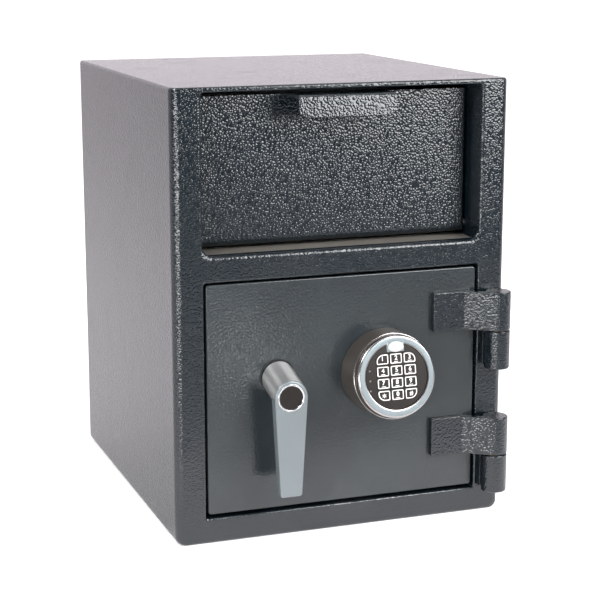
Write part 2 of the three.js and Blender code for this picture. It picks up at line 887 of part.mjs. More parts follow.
const bushBore = rodY(spindleRadius + fitGap, leverX, lockHeight, neckBack - 1, doorBack + 1);
addPiece('lever', makeLever(), finish.silver);
addPiece(
  'lever_plug',
  rodY(leverPlugRadius, leverX, leverEyeZ, leverFront + runGap, leverFront + leverPlugRecess, roundSides),
  finish.darkPlastic,
);
addPiece(
  'lever_bush',
  cut(
    join(
      rodY(leverBushFlange, leverX, lockHeight, doorFront - leverBushFlangeThickness, doorFront, roundSides),
      rodY(leverBushRadius, leverX, lockHeight, doorFront, doorBack),
    ),
    bushBore,
  ),
  finish.nylon,
);
addPiece('lever_spindle', rodY(spindleRadius, leverX, lockHeight, neckBack, spindleEnd), finish.steel);
addPiece('bolt_crank', makeCrank(), finish.zinc);

// Boltwork: a carriage with two round bolts, guided by two studs and held by the lock's own bolt
const lockX = keypadX - lockWidth / 2;
const lockTop = lockHeight + lockTopAboveAxis;
const lockBoltX = lockX + lockBoltPlace;
const lockBoltTop = lockTop + lockBoltStandOut;
const lockBoltSlope = lockBoltTravel / throwLength;
const lockBoltMiddle = (carriageFront + carriageBack) / 2;
const carriageLeft = -panX + panSheet + runGap * 2 + throwLength;
const carriageRight = carriageLeft + carriageWidth;
const studX = carriageLeft + studPlace;
const studHeights = [doorMiddle - studSpacing / 2, doorMiddle + studSpacing / 2];

function makeCarriage() {
  const armEnd = lockBoltX + lockBoltLead;
  const armLow = lockBoltTop + runGap;
  const plate = prismY(
    outline([
      [carriageLeft, doorMiddle - carriageHeight / 2],
      [carriageRight, doorMiddle - carriageHeight / 2],
      [carriageRight, armLow],
      [lockBoltX, armLow],
      [armEnd, armLow + lockBoltSlope * lockBoltLead],
      [armEnd, armLow + carriageArmHeight],
      [carriageRight, armLow + carriageArmHeight],
      [carriageRight, doorMiddle + carriageHeight / 2],
      [carriageLeft, doorMiddle + carriageHeight / 2],
    ]),
    carriageFront,
    carriageBack,
  );
  const earReach = lockingBoltRadius + 2;
  const ears = boltHeights.map((z) => block(
    carriageLeft,
    carriageLeft + carriageEar,
    carriageBack - 1,
    boltY + lockingBoltRadius,
    z - earReach,
    z + earReach,
  ));
  const slotReach = studRadius + runGap;
  const studSlots = studHeights.map((z) => block(
    studX - slotReach,
    studX + throwLength + slotReach,
    carriageFront - 1,
    carriageBack + 1,
    z - slotReach,
    z + slotReach,
  ));
  const pinReach = crankPinRadius + runGap;
  const crankSlot = block(
    crankPin[0] - pinReach,
    crankPin[0] + pinReach,
    carriageFront - 1,
    carriageBack + 1,
    crankPinLow - pinReach,
    crankPin[1] + pinReach,
  );
  return cut(join(plate, ...ears), ...studSlots, crankSlot);
}

addPiece('bolt_carriage', makeCarriage(), finish.zinc);
boltHeights.forEach((z, i) => {
  addPiece(
    ['locking_bolt_lower', 'locking_bolt_upper'][i],
    rodX(lockingBoltRadius, boltY, z, -panX, carriageLeft),
    finish.steel,
  );
});
studHeights.forEach((z, i) => {
  const stud = join(
    rodY(studRadius, studX, z, doorBack, carriageBack + runGap + studHeadHeight),
    rodY(studHeadRadius, studX, z, carriageBack + runGap, carriageBack + runGap + studHeadHeight),
  );
  addPiece(['guide_stud_lower', 'guide_stud_upper'][i], stud, finish.steel);
});

const lockBoltBottom = lockBoltTop - lockBoltLength;
const lockBoltY = [lockBoltMiddle - lockBoltThick / 2, lockBoltMiddle + lockBoltThick / 2];
addPiece(
  'lock_case',
  cut(
    block(lockX, lockX + lockWidth, doorBack, doorBack + lockThick, lockTop - lockTall, lockTop),
    block(
      lockBoltX - fitGap,
      lockBoltX + lockBoltWidth + fitGap,
      lockBoltY[0] - fitGap,
      lockBoltY[1] + fitGap,
      lockBoltBottom,
      lockTop + 1,
    ),
  ),
  finish.zinc,
);
addPiece(
  'lock_bolt',
  prismY(
    outline([
      [lockBoltX, lockBoltBottom],
      [lockBoltX + lockBoltWidth, lockBoltBottom],
      [lockBoltX + lockBoltWidth, lockBoltTop + lockBoltSlope * lockBoltWidth],
      [lockBoltX, lockBoltTop],
    ]),
    ...lockBoltY,
  ),
  finish.brass,
);

// Keypad: a round housing whose face leans back, so that it looks up at the user
const tilt = radians(keypadTilt);
const facing = new THREE.Vector3(0, -Math.cos(tilt), Math.sin(tilt));
const keypad = new THREE.Group();
keypad.position.set(keypadX, doorFront - keypadProud, lockHeight);
keypad.rotation.x = Math.PI / 2 - tilt;
safe.add(keypad);

function makeHousing() {
  const base = new THREE.Vector3(keypadX, doorFront, lockHeight - keypadBaseDrop);
  const front = keypad.position.clone().addScaledVector(facing, -ringDepth - fitGap);
  const ringAt = (share, radius, lift = 0) => {
    const lean = tilt * share;
    const centre = base.clone().lerp(front, share).addScaledVector(facing, lift);
    return Array.from({ length: roundSides }, (_, i) => {
      const angle = (2 * Math.PI * i) / roundSides;
      const up = radius * Math.sin(angle);
      return new THREE.Vector3(radius * Math.cos(angle), up * Math.sin(lean), up * Math.cos(lean)).add(centre);
    });
  };
  const taper = (share) => housingBaseRadius + (housingFrontRadius - housingBaseRadius) * share;
  const body = faceOut(loft([
    ringAt(0, housingBaseRadius),
    ringAt(0.5, taper(0.5)),
    ringAt(1, housingFrontRadius, -1),
    ringAt(1, housingFrontRadius - 1),
  ]));
  return cut(
    body,
    rodY(housingBaseRadius - housingWall, base.x, base.z, doorFront - housingHollow, doorFront + 1, roundSides),
  );
}

function makeRing() {
  const profile = [
    [ringInnerRadius, -ringDepth],
    [ringFlangeRadius, -ringDepth],
    [ringFlangeRadius, -ringDepth + 1.4],
    [ringRadius - 1.4, -ringDepth + 1.8],
    [ringRadius - 1.4, -ringDepth + 3],
    [ringRadius, -ringDepth + 3.4],
    [ringRadius, -2.6],
    [ringRadius - 0.9, -1],
    [ringRadius - 2.6, 0],
    [ringInnerRadius + 1, 0],
    [ringInnerRadius, -1],
  ];
  const half = tabWidth / 2;
  const tab = extrude(rectangle(-half, half, tabInner, ringInnerRadius + 1), tabThickness);
  return join(turned(profile, ringSides), tab.translate(0, 0, -tabThickness));
}

function keyOutline(column, row, grow = 0) {
  const x = (column - 1) * keyPitchX;
  const y = (1.5 - row) * keyPitchY;
  const halfX = keyWidth / 2 + grow;
  const halfY = keyHeight / 2 + grow;
  const radiusAt = (sideX, sideY) => {
    const atOuterCorner = sideX === column - 1 && ((row === 0 && sideY > 0) || (row === 3 && sideY < 0));
    return (atOuterCorner ? keyOuterCorner : keyCorner) + grow;
  };
  return outline([
    [x - halfX, y - halfY, radiusAt(-1, -1)],
    [x + halfX, y - halfY, radiusAt(1, -1)],
    [x + halfX, y + halfY, radiusAt(1, 1)],
    [x - halfX, y + halfY, radiusAt(-1, 1)],
  ]);
}

const keyNames = ['1', '2', '3', '4', '5', '6', '7', '8', '9', 'star', '0', 'hash'];
const faceFront = -faceRecess;
const faceBack = faceFront - faceThickness;
const lampHeights = [-1, 0, 1].map((step) => lampPlaceY + step * lampPitch);
const guideTop = faceBack - fitGap;

function makeFace() {
  const through = faceThickness + 2;
  const keyHoles = keyNames.map((_, i) => {
    const hole = extrude(keyOutline(i % 3, Math.floor(i / 3), fitGap), through, 3);
    return hole.translate(0, 0, faceBack - 1);
  });
  const tabNotch = extrude(
    rectangle(-tabWidth / 2 - fitGap, tabWidth / 2 + fitGap, tabInner - fitGap, ringRadius),
    through,
  );
  const lampHoles = lampHeights.map((y) => rodZ(lampRadius + fitGap, lampPlaceX, y, faceBack - 1, 1, 8));
  return cut(
    rodZ(ringInnerRadius - fitGap, 0, 0, faceBack, faceFront, ringSides),
    ...keyHoles,
    tabNotch.translate(0, 0, -tabThickness - fitGap),
    ...lampHoles,
  );
}

addPiece('keypad_housing', makeHousing(), finish.housingPlastic);
addPiece('keypad_ring', makeRing(), finish.silver, keypad);
addPiece('keypad_face', makeFace(), finish.darkPlastic, keypad);

const domeBall = new THREE.SphereGeometry(1, smallSides, 8).rotateX(Math.PI / 2);
domeBall.scale(domeWidth / 2, domeHeight / 2, domeRise);
const domeCut = rodZ(domeWidth, 0, 0, -domeRise * 2, 0, 8);
addPiece(
  'keypad_dome',
  cut(faceOut(domeBall), domeCut).translate(0, domePlace, fitGap),
  finish.pearl,
  keypad,
);
addPiece(
  'lamp_light_guide',
  join(
    extrude(
      rectangle(lampPlaceX - 1, lampPlaceX + 1, lampHeights[0] - 2, lampHeights[2] + 2),
      1.2,
    ).translate(0, 0, guideTop - 1.2),
    ...lampHeights.map((y) => rodZ(lampRadius, lampPlaceX, y, guideTop - 1, faceFront + 0.1, 8)),
  ),
  finish.pearl,
  keypad,
);
keyNames.forEach((name, i) => {
  const cap = extrude(keyOutline(i % 3, Math.floor(i / 3)), keyLength, 3);
  cap.translate(0, 0, faceFront + keyRise - keyLength);
  addPiece(`key_${name}`, cap, finish.darkPlastic, keypad);
});

// The lead from the keypad to the lock runs through the door and down into the lock case
const leadX = lockX + lockWidth - cablePlaceX;
const leadY = doorBack + lockThick / 2;
const lead = new THREE.CatmullRomCurve3([
  new THREE.Vector3(cableX, doorFront - 8, cableZ),
  new THREE.Vector3(cableX, doorBack + 2, cableZ),
  new THREE.Vector3(cableX + 1, doorBack + 10, cableZ + 0.5),
  new THREE.Vector3((cableX + leadX) / 2, leadY - 1, cableZ - 1),
  new THREE.Vector3(leadX, leadY, lockTop + 4),
  new THREE.Vector3(leadX, leadY, lockTop + fitGap),
]);
const leadSection = new THREE.Shape().absarc(0, 0, cableRadius, 0, Math.PI * 2, false);
addPiece(
  'keypad_cable',
  faceOut(new THREE.ExtrudeGeometry(leadSection, { steps: 14, curveSegments: 8, extrudePath: lead })),
  finish.rubber,
);

export default safe;
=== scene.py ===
"""Looks of a drop safe with a tilting deposit hopper above a hinged, lever-locked door.

Sizes are in millimetres and are brought to metres where a mesh is made.
"""
import math

import bmesh
import bpy
from mathutils import Matrix, Vector


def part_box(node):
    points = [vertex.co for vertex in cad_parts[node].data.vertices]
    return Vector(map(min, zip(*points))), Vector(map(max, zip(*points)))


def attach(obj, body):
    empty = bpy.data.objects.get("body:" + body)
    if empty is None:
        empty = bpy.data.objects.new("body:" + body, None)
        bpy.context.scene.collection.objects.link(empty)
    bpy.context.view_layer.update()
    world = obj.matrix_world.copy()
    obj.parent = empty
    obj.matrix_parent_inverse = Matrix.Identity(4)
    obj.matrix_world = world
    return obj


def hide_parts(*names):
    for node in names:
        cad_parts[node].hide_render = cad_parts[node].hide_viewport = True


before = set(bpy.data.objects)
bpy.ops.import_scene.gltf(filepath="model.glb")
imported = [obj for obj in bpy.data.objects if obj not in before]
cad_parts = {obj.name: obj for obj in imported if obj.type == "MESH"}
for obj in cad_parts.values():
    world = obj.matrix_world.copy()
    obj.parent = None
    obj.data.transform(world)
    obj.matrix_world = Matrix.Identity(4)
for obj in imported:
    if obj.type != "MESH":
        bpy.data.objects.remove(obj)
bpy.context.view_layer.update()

# Case
HALF_WIDTH = 175.0
FRONT_Y = -190.0
BACK_Y = 190.0
BODY_HEIGHT = 450.0
WALL = 5.0
SIDE_BEND = 9.0
TOP_BEND = 2.5
BOTTOM_BEND = 4.0
LOWER_EDGE = 8.0
UPPER_EDGE = 3.0
INNER_X = HALF_WIDTH - WALL
INNER_TOP = BODY_HEIGHT - WALL

# Openings in the front frame
OPEN_X = 145.0
FLANGE = 4.0
DOOR_OPENING = (26.0, 263.0)
SILL_Z = 288.5
DOOR_FLANGE_BACK = -150.0
HOPPER_FLANGE_BACK = -140.0
DOOR_MOUTH = 2.0
HOPPER_MOUTH = 4.0
DEEP_CORNER = 3.0
SILL_CORNER = 11.0
HEAD_CORNER = 4.0
SILL_CORNER_DEPTH = 12.0

# Floor and back of the case
ANCHOR_X = (-75.0, 75.0)
ANCHOR_HOLE = 6.5
ANCHOR_SHANK = 6.0
ANCHOR_HEAD = (11.0, 8.0)
ANCHOR_WASHER = (15.0, 2.5)
MAT_TOP = 8.0
MAT_SPAN = (-168, 168, -148, 182)
BACK_PANEL = 184.0
BACK_WELD = 50

# Hopper
HOPPER_X = 143.0
HOPPER_FRONT = -160.0
HOPPER_BOTTOM = 291.5
HOPPER_TOP = 438.5
HOPPER_SHEET = 3.0
HOPPER_BOTTOM_BEND = 9.0
HOPPER_EDGE_BEND = 5.5
HOPPER_RETURN = 20.0
PIVOT_Y = HOPPER_FRONT + HOPPER_BOTTOM_BEND
PIVOT_Z = HOPPER_BOTTOM + HOPPER_BOTTOM_BEND
SIDE_OUTER_X = 139.7
SIDE_INNER_X = 137.5
SIDE_TALL_RADIUS = 135.0
SIDE_LOW_RADIUS = 112.0
TRAY_ANGLE = math.radians(115)
TRAY_SPAN = (14.0, 110.0)
TRAY_SHEET = 2.5
STOP_LENGTH = 45.0
STOP_RADIUS = 5.0
BUSH_HOLE = 6.3
HOPPER_BUSH = (
    (4.3, 0),
    (5.7, 0),
    (6.0, 0.3),
    (6.0, 4.0),
    (8.4, 4.0),
    (9.0, 4.5),
    (9.0, 5.0),
    (8.6, 5.5),
    (4.3, 5.5),
)

# Pull on the hopper
PULL_HALF = 50.0
PULL_TOP = 440.0
PULL_LOW = 419.0
PULL_FRONT = -198.0
PULL_SHEET = 4.0
PULL_LEAN = 2.4

# Door
DOOR_X = 142.5
DOOR_BOTTOM = 29.5
DOOR_TOP = 260.5
DOOR_FRONT = -188.5
DOOR_BACK = -180.5
DOOR_CORNER = 3.0
DOOR_EDGE = 1.2
PAN_X = 134.0
PAN_LOW = 38.0
PAN_HIGH = 252.0
PAN_BACK = -126.0
PAN_SHEET = 2.0
DOOR_MIDDLE = (DOOR_BOTTOM + DOOR_TOP) / 2

# Hinges
HINGE_AXIS = Vector((161.5, -203.5))
KNUCKLE_RADIUS = 13.0
KNUCKLE_HEIGHT = 40.0
HINGE_SPLITS = {"upper": 197.0, "lower": 66.0}
HINGE_PIN_RADIUS = 5.0
LEAF_THICKNESS = 7.0
LEAF_START = 94.0
LEAF_BEND = 127.0

# Lever and boltwork
LEVER_X = -70.4
LOCK_Z = 164.4
NECK_RADIUS = 16.8
NECK_BACK = -190.3
# Length of the band round the neck's base painted black: a painted shadow line where the neck meets the door.
NECK_SHADE_BAND = 1.8
LEVER_FRONT = -230.5
LEVER_EYE_Z = 153.4
LEVER_END_Z = 53.5
LEVER_END_WIDTH = 22.0
LEVER_THICKNESS = 11.0
PLUG_RADIUS = 12.5
PLUG_FACE = 11.9
RIM_RADIUS = 14.0
PLUG_RECESS = 4.0
RIM_RECESS = 1.2
SPINDLE_RADIUS = 7.0
SPINDLE_END = -172.0
CRANK_REACH = 30.0
CRANK_TURN = math.radians(30)
CRANK_RADII = (12, 8)
CRANK_BACK = -166.0
CARRIAGE_FRONT = -163.0
CARRIAGE_BACK = -158.0
CARRIAGE_LEFT = -101.0
CARRIAGE_RIGHT = -34.0
BOLT_Y = -140.0
BOLT_RADIUS = 9.0
BOLT_HEIGHTS = {"lower": 85.0, "upper": 205.0}
STUD_HEIGHTS = {"lower": 73.0, "upper": 217.0}
STUD_X = -76.0
STUD_RADII = (4, 8)
THROW = 30.0

# Lock
LOCK_X = (10.0, 71.0)
LOCK_Z_SPAN = (105.0, 190.0)
LOCK_BACK = -148.5
LOCK_BOLT_X = 26.0
LOCK_BOLT_TOP = 194.0
LOCK_LIFT = 10.0
ARM_LOW = 194.5

# Keypad: its own frame has X to the right, Y up the face and Z out of it
KEYPAD_CENTRE = Vector((40.5, -228.5, 164.4))
KEYPAD_TILT = math.radians(10)
HOUSING_BASE = Vector((40.5, -188.5, 161.0))
HOUSING_RADII = (44.0, 42.2)
RING_RADIUS = 41.25
RING_FLANGE = 42.8
RING_INNER = 32.8
RING_DEPTH = 9.0
TAB_WIDTH = 18.2
TAB_INNER = 24.7
TAB_THICKNESS = 2.2
FACE_FRONT = -1.0
FACE_BACK = -5.4
KEY_SIZE = (13.1, 10.5)
KEY_PITCH = (14.46, 11.93)
KEY_CORNER = 1.8
KEY_OUTER_CORNER = 7.5
KEY_TOP = -0.4
KEY_LENGTH = 3.4
DOME_Y = 29.6
LAMP_X = -28.2
LAMP_HEIGHTS = (-12.1, -2.3, 7.5)
LEAD_RADIUS = 1.9
LEAD_PATH = (
    (54, -196, 195.4),
    (54, -179, 195.4),
    (55.5, -170, 195.6),
    (57.5, -164.6, 192.6),
    (57.5, -164.5, 190.4),
)
FIT = 0.3

# Camera and studio
PHOTO_WIDTH = 600
CAMERA_PLACE = Vector((-584.5, -1669.5, 585.3))
CAMERA_YAW = math.radians(19.96)
CAMERA_PITCH = math.radians(12.37)
CAMERA_FOCUS = 1649.0
SENSOR = 36.0
# Each soft box: its name, place, the point it faces, its size (all in metres) and its glow.
SOFT_BOXES = (
    ("key_box", (0.75, -1.14, 0.750), (0.0, -0.16, 0.42), (0.92, 0.70), 12.4),
    ("low_card", (0.068, -0.739, 0.048), (-0.10, -0.19, 0.185), (0.034, 0.04), 8.5),
    ("sky_box", (0, 0.6, 3.6), (0, 0.6, 0), (4.0, 4.0), 0.8),
    ("left_strip", (-0.95, -1.30, 0.18), (-0.175, -0.19, 0.18), (1.1, 0.30), 11.0),
    ("overhead", (0.95, -1.75, 2.0), (0.05, -0.19, 0.3), (0.6, 0.8), 13.0),
    ("upper_left", (-1.0, -0.8, 1.3), (-0.07, -0.21, 0.16), (0.8, 0.5), 15.0),
)
SEEN_GLOW = 1.06
# The floor close to the safe glows less, so that its shadow shows there.
FLOOR_GLOW = 0.55
SHADOW_REACH = (0.28, 0.62)
FLOOR_REACH = 12.0
FLOOR_DROP = 0.0002
MM = 0.001


# Outlines and solids
def arc_corners(corners, steps=7):
    """A closed loop through corners (x, y, radius), each rounded by an arc of its radius."""
    loop = []
    for i, corner in enumerate(corners):
        here = Vector(corner[:2])
        radius = corner[2] if len(corner) > 2 else 0.0
        if radius <= 0:
            loop.append(here)
            continue
        before = (Vector(corners[i - 1][:2]) - here).normalized()
        after = (Vector(corners[(i + 1) % len(corners)][:2]) - here).normalized()
        half = before.angle(after) / 2
        centre = here + (before + after).normalized() * (radius / math.sin(half))
        start = here + before * (radius / math.tan(half)) - centre
        end = here + after * (radius / math.tan(half)) - centre
        sweep = math.atan2(start.x * end.y - start.y * end.x, start.dot(end))
        for k in range(steps + 1):
            loop.append(centre + Matrix.Rotation(sweep * k / steps, 2) @ start)
    return loop


def rectangle(x0, x1, y0, y1, radius=0.0, steps=7):
    """The outline of a rectangle, its corners rounded where a radius is given."""
    return arc_corners([(x0, y0, radius), (x1, y0, radius), (x1, y1, radius), (x0, y1, radius)], steps)


def circle(x, y, radius, sides=48, start=0.0):
    """The outline of a circle."""
    turn = [start + 2 * math.pi * i / sides for i in range(sides)]
    return [Vector((x + radius * math.cos(a), y + radius * math.sin(a))) for a in turn]


AXES = {
    "X": Matrix(((0, 0, 1, 0), (1, 0, 0, 0), (0, 1, 0, 0), (0, 0, 0, 1))),
    "Y": Matrix(((1, 0, 0, 0), (0, 0, 1, 0), (0, 1, 0, 0), (0, 0, 0, 1))),
    "Z": Matrix.Identity(4),
}
KEYPAD_PLACE = Matrix.Translation(KEYPAD_CENTRE) @ Matrix.Rotation(math.pi / 2 - KEYPAD_TILT, 4, "X")


def evaluated(obj):
    """The object's mesh with its modifiers applied, and the modifiers gone."""
    graph = bpy.context.evaluated_depsgraph_get()
    graph.update()
    mesh = bpy.data.meshes.new_from_object(obj.evaluated_get(graph), depsgraph=graph)
    obj.modifiers.clear()
    return mesh


def settled(obj):
    """The object's own mesh replaced by the one its modifiers make."""
    old = obj.data
    obj.data = evaluated(obj)
    bpy.data.meshes.remove(old)


def taken_out(obj, *tools):
    """The object's finished mesh to work on, with the object and its tools gone."""
    mesh = evaluated(obj)
    for spent in (obj, *tools):
        bpy.data.objects.remove(spent)
    bm = bmesh.new()
    bm.from_mesh(mesh)
    bpy.data.meshes.remove(mesh)
    return bm


def shown_holder(name, data):
    """A new object in the scene that holds this mesh, curve, lens or lamp."""
    obj = bpy.data.objects.new(name, data)
    bpy.context.scene.collection.objects.link(obj)
    return obj


def closed(bm, gap=1e-4):
    """Doubles merged and every face pointing out."""
    bmesh.ops.remove_doubles(bm, verts=bm.verts, dist=gap)
    bmesh.ops.recalc_face_normals(bm, faces=bm.faces)
    return bm


def cut_sheet(loops, low, high, axis="Z", edge=0.0, place=None, rounds=2):
    """A flat piece from its outline and its holes, from low to high along the axis, with round edges."""
    curve = bpy.data.curves.new("outline", "CURVE")
    curve.dimensions = "2D"
    curve.fill_mode = "BOTH"
    curve.extrude = (high - low) / 2 - edge
    curve.bevel_depth = edge
    curve.bevel_resolution = rounds
    curve.offset = -edge
    for loop in loops:
        spline = curve.splines.new("POLY")
        spline.points.add(len(loop) - 1)
        for point, corner in zip(spline.points, loop):
            point.co = (corner[0], corner[1], 0, 1)
        spline.use_cyclic_u = True
    bm = taken_out(shown_holder("outline", curve))
    bmesh.ops.translate(bm, verts=bm.verts, vec=(0, 0, (low + high) / 2))
    bm.transform((place or Matrix.Identity(4)) @ AXES[axis])
    return closed(bm)


def lofted(rings, cyclic=False):
    """A skin through rings of points, closed at both ends, or into itself."""
    bm = bmesh.new()
    rows = [[bm.verts.new(point) for point in ring] for ring in rings]
    pairs = list(zip(rows, rows[1:]))
    if cyclic:
        pairs.append((rows[-1], rows[0]))
    count = len(rows[0])
    for low, high in pairs:
        for i in range(count):
            j = (i + 1) % count
            bm.faces.new((low[i], low[j], high[j], high[i]))
    if not cyclic:
        bm.faces.new(rows[0])
        bm.faces.new(rows[-1])
    return closed(bm)


def turned(profile, place=None, sides=64, hollow=False):
    """A round piece about +Z of its place, from (radius, height) points."""
    rings = []
    for radius, height in profile:
        rings.append([Vector((p.x, p.y, height)) for p in circle(0, 0, max(radius, 1e-3), sides)])
    bm = lofted(rings, cyclic=hollow)
    bm.transform(place or Matrix.Identity(4))
    return closed(bm)


def along(axis, point):
    """A place at the point, with +Z turned to the axis: -Y faces the front."""
    turn = {
        "X": Matrix.Rotation(math.pi / 2, 4, "Y"),
        "-X": Matrix.Rotation(-math.pi / 2, 4, "Y"),
        "-Y": Matrix.Rotation(math.pi / 2, 4, "X"),
        "Y": Matrix.Rotation(-math.pi / 2, 4, "X"),
        "Z": Matrix.Identity(4),
        "-Z": Matrix.Rotation(math.pi, 4, "X"),
    }[axis]
    return Matrix.Translation(point) @ turn


def rounded_rod(radius, length, edge, place, sides=48):
    """A rod whose two ends have a round edge."""
    quarter = [math.pi / 2 * k / 4 for k in range(5)]
    low = [(radius - edge + edge * math.sin(a), edge - edge * math.cos(a)) for a in quarter]
    high = [(radius - edge + edge * math.cos(a), length - edge + edge * math.sin(a)) for a in quarter]
    return turned([(0, 0), *low, *high, (0, length)], place, sides)


def joined(*parts):
    """Several closed skins as one mesh."""
    whole = bmesh.new()
    for part in parts:
        mesh = bpy.data.meshes.new("part")
        part.to_mesh(mesh)
        part.free()
        whole.from_mesh(mesh)
        bpy.data.meshes.remove(mesh)
    return whole


def holder_of(bm, name="solid"):
    """An object that holds the mesh, which is spent."""
    mesh = bpy.data.meshes.new(name)
    bm.to_mesh(mesh)
    bm.free()
    return shown_holder(name, mesh)


def carved(first, others, how="DIFFERENCE"):
    """The first solid less the others, or united with them or held to what they share."""
    base = holder_of(first)
    tools = [holder_of(other) for other in others]
    for tool in tools:
        step = base.modifiers.new("carve", "BOOLEAN")
        step.operation = how
        step.solver = "EXACT"
        step.object = tool
    bm = taken_out(base, *tools)
    bmesh.ops.remove_doubles(bm, verts=bm.verts, dist=1e-4)
    return bm


def shaded(obj, crease=35.0):
    """Smooth shading with flat faces kept flat and edges sharper than the crease kept sharp."""
    obj.data.shade_smooth()
    obj.data.set_sharp_from_angle(angle=math.radians(crease))
    weigh = obj.modifiers.new("weigh", "WEIGHTED_NORMAL")
    weigh.keep_sharp = True
    weigh.weight = 80
    settled(obj)


def painted(bm, rule):
    """Each face given the paint that the rule names for the middle of the face."""
    for face in bm.faces:
        face.material_index = rule(face.calc_center_median())
    return bm


def set_down(name, bm, paint, body, nodes=(), edge=0.0, crease=35.0, segments=3):
    """One finished piece: edges rounded, brought to metres, painted, and riding on its body."""
    obj = holder_of(bm, name)
    paints = paint if isinstance(paint, (list, tuple)) else [paint]
    for one in paints:
        obj.data.materials.append(one)
    if edge > 0:
        soften = obj.modifiers.new("edge", "BEVEL")
        soften.width = edge
        soften.segments = segments
        soften.limit_method = "ANGLE"
        soften.angle_limit = math.radians(32)
        soften.use_clamp_overlap = True
        settled(obj)
    obj.data.transform(Matrix.Scale(MM, 4))
    shaded(obj, crease)
    obj.data.name = name
    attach(obj, body)
    if nodes:
        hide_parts(*([nodes] if isinstance(nodes, str) else nodes))
    return obj


# Finishes
def node(tree, kind, settings=None, **inputs):
    """A node with its settings, and each input given a value or linked from a socket."""
    made = tree.nodes.new(kind)
    for key, value in (settings or {}).items():
        setattr(made, key, value)
    for key, value in inputs.items():
        spot = made.inputs[int(key[1:])] if key[1:].isdigit() else made.inputs[key.replace("_", " ")]
        if isinstance(value, bpy.types.NodeSocket):
            tree.links.new(value, spot)
        else:
            spot.default_value = value
    return made


def math_node(tree, operation, first, second=0.0, clamp=False):
    """The result of one sum on two values or sockets."""
    made = node(tree, "ShaderNodeMath", {"operation": operation, "use_clamp": clamp}, i0=first, i1=second)
    return made.outputs[0]


def ramp(tree, value, low, high, to_low=0.0, to_high=1.0):
    """The value brought smoothly from one span to another."""
    settings = {"interpolation_type": "SMOOTHSTEP"}
    made = node(tree, "ShaderNodeMapRange", settings, Value=value, From_Min=low, From_Max=high)
    made.inputs["To Min"].default_value = to_low
    made.inputs["To Max"].default_value = to_high
    return made.outputs["Result"]


def effect(name, inputs, outputs):
    """An empty shader group with named inputs and outputs, and its two end nodes."""
    tree = bpy.data.node_groups.new(name, "ShaderNodeTree")
    for label, value in inputs.items():
        socket = tree.interface.new_socket(label, in_out="INPUT", socket_type="NodeSocketFloat")
        socket.default_value = value
    for label in outputs:
        tree.interface.new_socket(label, in_out="OUTPUT", socket_type="NodeSocketFloat")
    return tree, tree.nodes.new("NodeGroupInput").outputs, tree.nodes.new("NodeGroupOutput").inputs


def object_place(tree):
    """Object coordinates, which stay with the piece."""
    return tree.nodes.new("ShaderNodeTexCoord").outputs["Object"]


def make_hammer_effect():
    """Rounded blots of hammered paint that run into each other, with fine specks between them."""
    sizes = {"Blots per metre": 425.0, "Blot share": 1.0, "Specks per metre": 700.0, "Speck share": 0.1}
    tree, given, out = effect("hammered_paint", sizes, ("Height", "Tone_and_valley_shade"))
    place = object_place(tree)
    drift = node(tree, "ShaderNodeTexNoise", None, Vector=place, Scale=120.0, Detail=2.0)
    drawn = drift.outputs["Color"]
    pull = node(tree, "ShaderNodeVectorMath", {"operation": "SCALE"}, Vector=drawn, Scale=0.0016)
    moved = node(tree, "ShaderNodeVectorMath", {"operation": "ADD"}, i0=place, i1=pull.outputs[0]).outputs[0]
    settings = {"feature": "SMOOTH_F1"}
    blots = node(tree, "ShaderNodeTexVoronoi", settings, Vector=moved, Scale=given["Blots per metre"])
    blots.inputs["Smoothness"].default_value = 0.12
    dome = ramp(tree, blots.outputs["Distance"], 0.85, 0.0)
    specks = node(tree, "ShaderNodeTexVoronoi", None, Vector=place, Scale=given["Specks per metre"])
    bead = ramp(tree, specks.outputs["Distance"], 0.38, 0.0)
    low_part = math_node(tree, "MULTIPLY", dome, given["Blot share"])
    fine_part = math_node(tree, "MULTIPLY", bead, given["Speck share"])
    tree.links.new(math_node(tree, "ADD", low_part, fine_part), out["Height"])
    # Tone: the blot tops vary at random with a cloud, and the valleys between blots go darker, a painted
    # shade in the hollows.
    cloud = node(tree, "ShaderNodeTexNoise", None, Vector=place, Scale=14.0, Detail=3.0)
    tree.links.new(math_node(tree, "MULTIPLY", dome, cloud.outputs["Fac"]), out["Tone_and_valley_shade"])
    return tree


def make_peel_effect():
    """The low, even waves of sprayed paint."""
    tree, given, out = effect("orange_peel", {"Waves per metre": 420.0}, ("Height", "Cloud"))
    place = object_place(tree)
    waves = node(tree, "ShaderNodeTexNoise", None, Vector=place, Scale=given["Waves per metre"], Detail=1.5)
    tree.links.new(waves.outputs["Fac"], out["Height"])
    cloud = node(tree, "ShaderNodeTexNoise", None, Vector=place, Scale=9.0, Detail=4.0)
    tree.links.new(cloud.outputs["Fac"], out["Cloud"])
    return tree


def make_brushed_effect():
    """Fine lines that run along one axis of the piece."""
    stretch = {"Across X": 2600.0, "Across Y": 2600.0, "Across Z": 60.0}
    tree, given, out = effect("brushed_lines", stretch, ("Height", "Cloud"))
    place = object_place(tree)
    spans = {axis: given[f"Across {axis}"] for axis in "XYZ"}
    parts = node(tree, "ShaderNodeCombineXYZ", None, **spans)
    drawn = node(tree, "ShaderNodeVectorMath", {"operation": "MULTIPLY"}, i0=place, i1=parts.outputs[0])
    lines = node(tree, "ShaderNodeTexNoise", None, Vector=drawn.outputs[0], Scale=1.0, Detail=3.0)
    tree.links.new(lines.outputs["Fac"], out["Height"])
    cloud = node(tree, "ShaderNodeTexNoise", None, Vector=place, Scale=25.0, Detail=4.0)
    tree.links.new(cloud.outputs["Fac"], out["Cloud"])
    return tree


